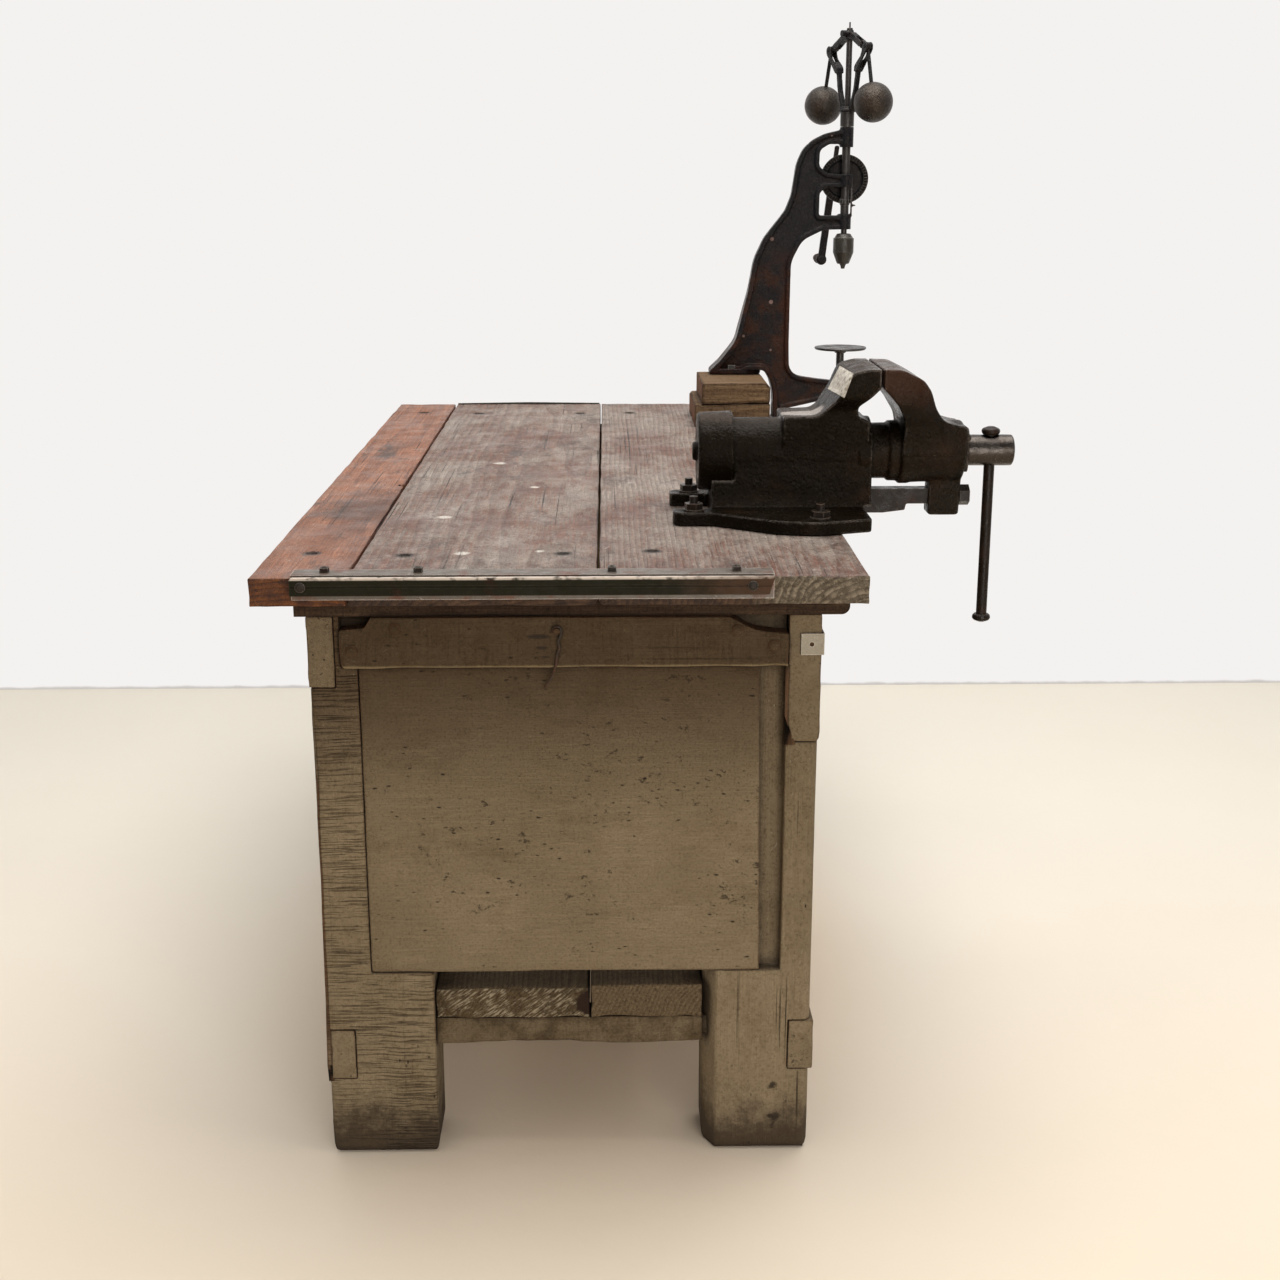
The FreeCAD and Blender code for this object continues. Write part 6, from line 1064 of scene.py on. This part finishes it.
class BENCH_OT_vise(bpy.types.Operator):
    """Round off and finish the castings of the vise, and its screw, bars and tape patch"""

    bl_idname = "bench.dress_vise"
    bl_label = "Vise"

    def tape_patch(self):
        """A creased patch of old masking tape, pressed on to the back of the fixed jaw."""
        corners = [Vector(corner) for corner in TAPE_CORNERS]
        steps, lift, sunk = 12, 0.0006, -0.0004
        form = bmesh.new()
        layers = []
        for height in (lift, sunk):
            rows = []
            for down in range(steps + 1):
                row = []
                for across in range(steps + 1):
                    u, v = across / steps, down / steps
                    upper = corners[0].lerp(corners[1], u)
                    lower = corners[3].lerp(corners[2], u)
                    wavy = 0.7 * noise.noise(Vector((u * 3, v * 3, 2.0))) if v in (0.0, 1.0) else 0.0
                    spot = upper.lerp(lower, v) + Vector((0, wavy))
                    place, normal = surface_point("vise_body", spot.x, spot.y)
                    crease = 0.0004 * noise.noise(place * 160) if height > 0 else 0.0
                    row.append(form.verts.new(place + normal * (height + crease)))
                rows.append(row)
            layers.append(rows)
        top, bottom = layers
        for down in range(steps):
            for across in range(steps):
                quad = ((down, across), (down + 1, across), (down + 1, across + 1), (down, across + 1))
                form.faces.new([top[row][column] for row, column in quad])
                form.faces.new([bottom[row][column] for row, column in reversed(quad)])
        rim = [(0, column) for column in range(steps)] + [(row, steps) for row in range(steps)]
        rim += [(steps, column) for column in range(steps, 0, -1)] + [(row, 0) for row in range(steps, 0, -1)]
        for first, second in zip(rim, rim[1:] + rim[:1]):
            corners_here = ((top, first), (top, second), (bottom, second), (bottom, first))
            form.faces.new([layer[row][column] for layer, (row, column) in corners_here])
        material, graph, surface = empty_finish("paper_tape")
        place = graph.place()
        crease = graph.noise(place, 160, 6, 0.7)
        tone = graph.mix(graph.between(crease, 0.40, 0.62), (0.56, 0.52, 0.45), (0.30, 0.26, 0.20))
        tone = graph.cover(tone, graph.patches(place, 60, 5, 0.7, 0.52, 0.66), (0.12, 0.09, 0.06), 0.7)
        settle(graph, surface, tone, graph.between(crease, 0.3, 0.7, 0.5, 0.8), 0.5, crease, 0.0008)
        patch = finish_mesh(form, "tape_patch")
        shaped("tape_patch", patch, "vise_body", "bench", material, replaces=False)

    def execute(self, context):
        iron = context.scene.bench_iron
        cast, bright = tuple(iron.cast), tuple(iron.bright)
        brown = (0.0150, 0.0072, 0.0038)

        def sheen_and_rubbed_tops(graph, place, tone):
            """Upward faces of the saddle, horns and flange are lightened grey: painted sheen of the light
            from above, and rubbed metal on the saddle strip.
            """
            facing = graph.facing("Z")
            # Painted sheen: high upward faces are lightened as if catching the light from above.
            upward_sheen = graph.between(graph.added(graph.noise(place, 30, 6, 0.7), 0.7, facing), 0.95, 1.25)
            high = graph.between(graph.parts(place)[2], TOP_Z + 0.135, TOP_Z + 0.150)
            tone = graph.cover(tone, graph.times(upward_sheen, high), (0.070, 0.047, 0.034), 0.40)
            # The saddle strip is rubbed metal and a painted reflection of the light from above.
            saddle = surface_point("vise_body", *VISE_SADDLE)[0]
            uneven = graph.times(graph.noise(place, 50, 6, 0.7), 0.016)
            distance = ragged_distance(graph, place, saddle, uneven, (0.55, 1.0, 1.6))
            strip = graph.times(graph.between(distance, 0.036, 0.026), graph.between(facing, 0.2, 0.6))
            return graph.cover(tone, strip, (0.33, 0.29, 0.26), 0.8)

        def rubbed_jaw(graph, place, tone):
            """The jaw's back is worn red-brown."""
            tone = sheen_and_rubbed_tops(graph, place, tone)
            high = graph.between(graph.parts(place)[2], TOP_Z + 0.15, TOP_Z + 0.21)
            patch = graph.patches(place, 14, 6, 0.5, 0.40, 0.58)
            return graph.cover(tone, graph.times(high, patch), (0.050, 0.020, 0.011), 0.6)

        body = cast_iron(
            "iron_vise_body", cast, brown, bright, 0.24, 0.64, 0.30, reach=0.007, gleam=0.07,
            extras=sheen_and_rubbed_tops,
        )
        jaw = cast_iron(
            "iron_moving_jaw", cast, brown, bright, 0.22, 0.62, 0.40, reach=0.007, gleam=0.11,
            extras=rubbed_jaw,
        )
        screw = old_steel(
            "steel_vise_screw", (0.052, 0.044, 0.038), (0.34, 0.30, 0.27), (0.024, 0.015, 0.010), shine=0.18,
            metallic=1.0,
        )
        bars = old_steel(
            "steel_vise_bars", (0.013, 0.0085, 0.0055), (0.14, 0.105, 0.08), (0.028, 0.012, 0.007), rusty=0.5,
            shine=0.28, metallic=0.1, gleam=0.18,
        )
        cast_copy("vise_body", body, iron, seed=1.0)
        cast_copy("moving_jaw", jaw, iron, seed=2.0)
        cast_copy("vise_end_cap", body, iron, seed=3.0)
        cast_copy("retaining_plate", jaw, iron, voxel=0.6, smooth=2, seed=4.0)
        paint_nodes(bars, "vise_nut", "guide_bar", "handle_bar", "jaw_fasteners", "vise_bolts")
        paint_nodes(screw, "vise_screw")
        self.tape_patch()
        return {"FINISHED"}


class BENCH_OT_drill(bpy.types.Operator):
    """Round off and finish the drill's frame, gear, crank, governor, chuck and table"""

    bl_idname = "bench.dress_drill"
    bl_label = "Bench drill"

    def execute(self, context):
        iron = context.scene.bench_iron
        japan, rust = tuple(iron.japan), tuple(iron.rust)
        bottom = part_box("drill_frame")[0].z

        def rusty_column(graph, place, tone):
            """The column is worn to brown, with small light screws, and the foot's upward faces are pale:
            rubbed enamel and painted sheen of the light from above.
            """
            z = graph.parts(place)[2]
            band = graph.times(
                graph.between(z, bottom + 0.02, bottom + 0.10), graph.between(z, bottom + 0.44, bottom + 0.32)
            )
            ragged = graph.times(graph.patches(place, 16, 6, 0.7, 0.36, 0.56), 0.85)
            tone = graph.cover(tone, graph.times(band, ragged), (0.034, 0.0115, 0.0065))
            for px, py, size in COLUMN_SCREWS:
                middle = surface_point("drill_frame", px, py)[0]
                rim = near_point(graph, place, middle, size + 0.003, 0.4)
                tone = graph.cover(tone, rim, (0.004, 0.003, 0.003), 0.75)
                head = near_point(graph, place, middle, size, 0.3)
                tone = graph.cover(tone, head, (0.20, 0.13, 0.115), 0.8)
            # Painted sheen with rubbing: the foot's upward faces are lightened as if catching the light from
            # above.
            foot = graph.between(z, bottom + 0.020, bottom + 0.012)
            upward_sheen = graph.added(graph.noise(place, 40, 6, 0.7), 0.6, graph.facing("Z"))
            rubbed = graph.times(foot, graph.between(upward_sheen, 0.80, 1.10))
            return graph.cover(tone, rubbed, (0.24, 0.20, 0.18), 0.7)

        # The frame's light grey worn edges are rubbed enamel and also a painted reflection of the white wall
        # on its rims.
        frame_iron = cast_iron(
            "japan_drill_frame", japan, rust, (0.20, 0.19, 0.18), 0.30, 0.50, 0.22, reach=0.005, gleam=0.16,
            extras=rusty_column,
        )
        works = cast_iron(
            "japan_drill_works", japan, rust, (0.13, 0.12, 0.11), 0.32, 0.46, 0.25, reach=0.003, gleam=0.2
        )
        balls = cast_iron(
            "iron_fly_balls", (0.012, 0.010, 0.009), (0.024, 0.015, 0.011), (0.08, 0.07, 0.06), 0.34, 0.3,
            0.5, gleam=0.4,
        )
        steel = old_steel(
            "steel_drill_works", (0.050, 0.046, 0.043), (0.26, 0.24, 0.22), (0.035, 0.022, 0.015), rusty=0.45,
            shine=0.32,
        )
        brass = old_steel(
            "brass_chuck", (0.040, 0.036, 0.030), (0.24, 0.22, 0.19), (0.030, 0.023, 0.014), rusty=0.5,
            shine=0.34, metallic=0.4,
        )
        handle = bare_wood(
            "turned_crank_handle", "y", (0.050, 0.026, 0.016), (0.022, 0.011, 0.007), (0.3, 0.7, 1.0), 5.0,
            dirt=0.3,
        )
        cast_copy("drill_frame", frame_iron, iron, voxel=0.9, seed=5.0)
        castings = (
            ("crank_arm", 0.55), ("ball_carrier", 0.5), ("crosshead", 0.5), ("ball_lever_left", 0.45),
            ("ball_lever_right", 0.45),
        )
        for index, (node, voxel) in enumerate(castings):
            cast_copy(node, works, iron, voxel=voxel, smooth=2, seed=6.0 + index)
        paint_nodes(balls, "fly_ball_left", "fly_ball_right")
        paint_nodes(works, "bevel_gear")
        paint_nodes(
            steel, "gear_stud", "spindle", "spindle_sleeve", "drill_bolts", "drill_table", "table_screw",
            "chuck_jaws",
        )
        paint_nodes(brass, "chuck_body", "chuck_sleeve")
        paint_nodes(handle, "crank_handle")
        return {"FINISHED"}


class BENCH_OT_blocks(bpy.types.Operator):
    """Dress the two packing blocks under the drill"""

    bl_idname = "bench.dress_blocks"
    bl_label = "Packing blocks"

    def execute(self, context):
        wood = context.scene.bench_wood
        light = tuple(wood.block)
        dark = tuple(0.42 * c for c in light)

        def stained_sides(graph, place, tone):
            """The ends keep a red stain, and the arrises are dark."""
            patch = graph.times(graph.patches(place, 30, 7, 0.75, 0.36, 0.62), 0.8)
            tone = graph.cover(tone, graph.times(graph.sides("X"), patch), (0.210, 0.068, 0.030))
            return graph.cover(tone, graph.worn(place, 0.010, 60.0, 0.85), (0.030, 0.016, 0.010), 0.85)

        blocks = bare_wood(
            "bare_packing_blocks", "x", light, dark, (0.2, 0.5, 0.8), 2.0, dirt=0.7, extras=stained_sides
        )
        for index, node in enumerate(("packing_block_lower", "packing_block_upper")):
            worn_board(node, blocks, wood, (0.02, 0.02, 0.012), 30.0 + index, chip=3.0)
        return {"FINISHED"}


class BENCH_OT_stage(bpy.types.Operator):
    """Build the wall, the floor, the lamps and the camera"""

    bl_idname = "bench.set_stage"
    bl_label = "Studio"

    def floor_finish(self, stage):
        material, graph, surface = empty_finish("studio_floor")
        place = graph.place()
        # Painted light falloff: the floor changes from the near colour in front to the colour near the wall.
        depth = graph.between(graph.parts(place)[1], BENCH_MIDDLE.y - 2.2, BENCH_MIDDLE.y + 1.2)
        tone = graph.mix(depth, tuple(stage.floor_near), tuple(stage.floor))
        tone = graph.shade(tone, graph.patches(place, 1.6, 5, 0.6, 0.35, 0.7), (0.94, 0.92, 0.88), 0.20)
        # Painted shadow: the floor is darkened and warmed round and under the bench.
        reach = ragged_distance(graph, place, BENCH_MIDDLE, 0.0, (1.5, 0.8, 0))
        tone = graph.shade(tone, graph.between(reach, 0.95, 0.30), (0.97, 0.82, 0.68))
        tone = graph.cover(tone, graph.flecks(place, 9.0, 0.0, 0.60), (0.30, 0.22, 0.14), 0.35)
        settle(graph, surface, tone, 0.55, 0.5, graph.noise(place, 14, 5), 0.0015)
        return material

    def wall_finish(self, stage):
        material, graph, surface = empty_finish("studio_wall")
        place = graph.place()
        # Painted shade: a dark ragged band along the foot of the wall, where it meets the floor.
        ragged = graph.added(graph.noise(place, 18, 5), -0.012, graph.parts(place)[2])
        tone = graph.cover(tuple(stage.wall), graph.between(ragged, 0.004, -0.004), (0.40, 0.36, 0.32), 0.6)
        seen = graph.node("ShaderNodeLightPath").outputs
        glow = graph.math("MAXIMUM", seen["Is Camera Ray"], seen["Is Glossy Ray"])
        glow = graph.math("MAXIMUM", glow, seen["Is Transmission Ray"])
        graph.feed(surface["Base Color"], graph.mix(glow, tone, (0, 0, 0)))
        graph.feed(surface["Emission Color"], graph.mix(glow, (0, 0, 0), tone))
        surface["Emission Strength"].default_value = 1.0
        surface["Roughness"].default_value = 0.9
        surface["Specular IOR Level"].default_value = 0.0
        outlet = next(node for node in graph.tree.nodes if node.type == "OUTPUT_MATERIAL")
        one_sided = graph.fill(
            graph.node("ShaderNodeMixShader"),
            graph.node("ShaderNodeNewGeometry").outputs["Backfacing"],
            outlet.inputs["Surface"].links[0].from_socket,
            graph.node("ShaderNodeBsdfTransparent").outputs[0],
        )
        graph.feed(outlet.inputs["Surface"], one_sided)
        return material

    def plane(self, name, corners, material):
        mesh = bpy.data.meshes.new(name)
        mesh.from_pydata(corners, [], [(0, 1, 2, 3)])
        made = bpy.data.objects.new(name, mesh)
        made.data.materials.append(material)
        bpy.context.scene.collection.objects.link(made)

    def lamp(self, name, place, target, size, power):
        light = bpy.data.lights.new(name, "AREA")
        light.shape = "SQUARE"
        light.size = size
        light.energy = power
        made = bpy.data.objects.new(name, light)
        made.location = place
        made.rotation_euler = (Vector(target) - Vector(place)).to_track_quat("-Z", "Y").to_euler()
        bpy.context.scene.collection.objects.link(made)

    def execute(self, context):
        scene = context.scene
        stage = scene.bench_stage
        middle = BENCH_MIDDLE
        wall_y = middle.y + stage.wall_distance
        far, tall = 9, 6
        floor_corners = [(-far, -far, 0), (far, -far, 0), (far, far, 0), (-far, far, 0)]
        wall_corners = [(-far, wall_y, 0), (far, wall_y, 0), (far, wall_y, tall), (-far, wall_y, tall)]
        self.plane("studio_floor", floor_corners, self.floor_finish(stage))
        self.plane("studio_wall", wall_corners, self.wall_finish(stage))
        aim = middle + Vector((0, 0, 0.6))
        self.lamp("lamp_above", middle + Vector((0.35, -0.1, 3.5)), aim, 2.4, stage.key_power)
        self.lamp("lamp_front", middle + Vector((1.1, -4.2, 1.2)), aim, 2.0, stage.fill_power)
        world = bpy.data.worlds.new("studio_air")
        scene.world = world
        world.use_nodes = True
        air = Graph(world.node_tree)
        background = world.node_tree.nodes["Background"]
        x, y, z = air.parts(air.node("ShaderNodeTexCoord").outputs["Generated"])
        height = air.between(z, -0.1, 0.7)
        behind_camera = air.between(y, 0.1, -0.7)
        room = air.mix(behind_camera, (0.75, 0.735, 0.715), (0.16, 0.152, 0.142))
        light = air.mix(height, room, (1.0, 0.985, 0.965))
        seen = air.node("ShaderNodeLightPath").outputs["Is Camera Ray"]
        air.feed(background.inputs["Color"], air.mix(seen, light, tuple(stage.wall)))
        air.feed(background.inputs["Strength"], air.math("MULTIPLY_ADD", seen, 1.0 - stage.sky, stage.sky))
        camera = bpy.data.objects.new("studio_camera", bpy.data.cameras.new("studio_camera"))
        scene.collection.objects.link(camera)
        camera.data.sensor_width = SENSOR
        camera.data.lens = CAMERA_LENS
        camera.location = CAMERA_PLACE
        camera.rotation_euler = (math.pi / 2 - CAMERA_PITCH, 0, -CAMERA_YAW)
        scene.camera = camera
        scene.view_settings.view_transform = "Standard"
        return {"FINISHED"}


class BENCH_PT_dressing(bpy.types.Panel):
    """Lists the pieces that can be dressed"""

    bl_label = "Old workbench"
    bl_idname = "BENCH_PT_dressing"
    bl_space_type = "VIEW_3D"
    bl_region_type = "UI"
    bl_category = "Workbench"

    def draw(self, context):
        for operator in OPERATORS:
            self.layout.operator(operator.bl_idname)
        for group in (context.scene.bench_wood, context.scene.bench_iron, context.scene.bench_stage):
            box = self.layout.box()
            for name in group.bl_rna.properties.keys():
                if name not in ("rna_type", "name"):
                    box.prop(group, name)


SETTINGS = {"bench_wood": WoodSettings, "bench_iron": IronSettings, "bench_stage": StageSettings}
OPERATORS = (
    BENCH_OT_top, BENCH_OT_base, BENCH_OT_trim, BENCH_OT_vise, BENCH_OT_drill, BENCH_OT_blocks,
    BENCH_OT_stage,
)


def register():
    for name, group in SETTINGS.items():
        bpy.utils.register_class(group)
        setattr(bpy.types.Scene, name, bpy.props.PointerProperty(type=group))
    for operator in OPERATORS:
        bpy.utils.register_class(operator)
    bpy.utils.register_class(BENCH_PT_dressing)


def unregister():
    bpy.utils.unregister_class(BENCH_PT_dressing)
    for operator in reversed(OPERATORS):
        bpy.utils.unregister_class(operator)
    for name, group in SETTINGS.items():
        delattr(bpy.types.Scene, name)
        bpy.utils.unregister_class(group)


def main():
    register()
    bpy.ops.bench.dress_top()
    bpy.ops.bench.dress_base()
    bpy.ops.bench.dress_trim()
    bpy.ops.bench.dress_vise()
    bpy.ops.bench.dress_drill()
    bpy.ops.bench.dress_blocks()
    bpy.ops.bench.set_stage()


if __name__ == "__main__":
    main()
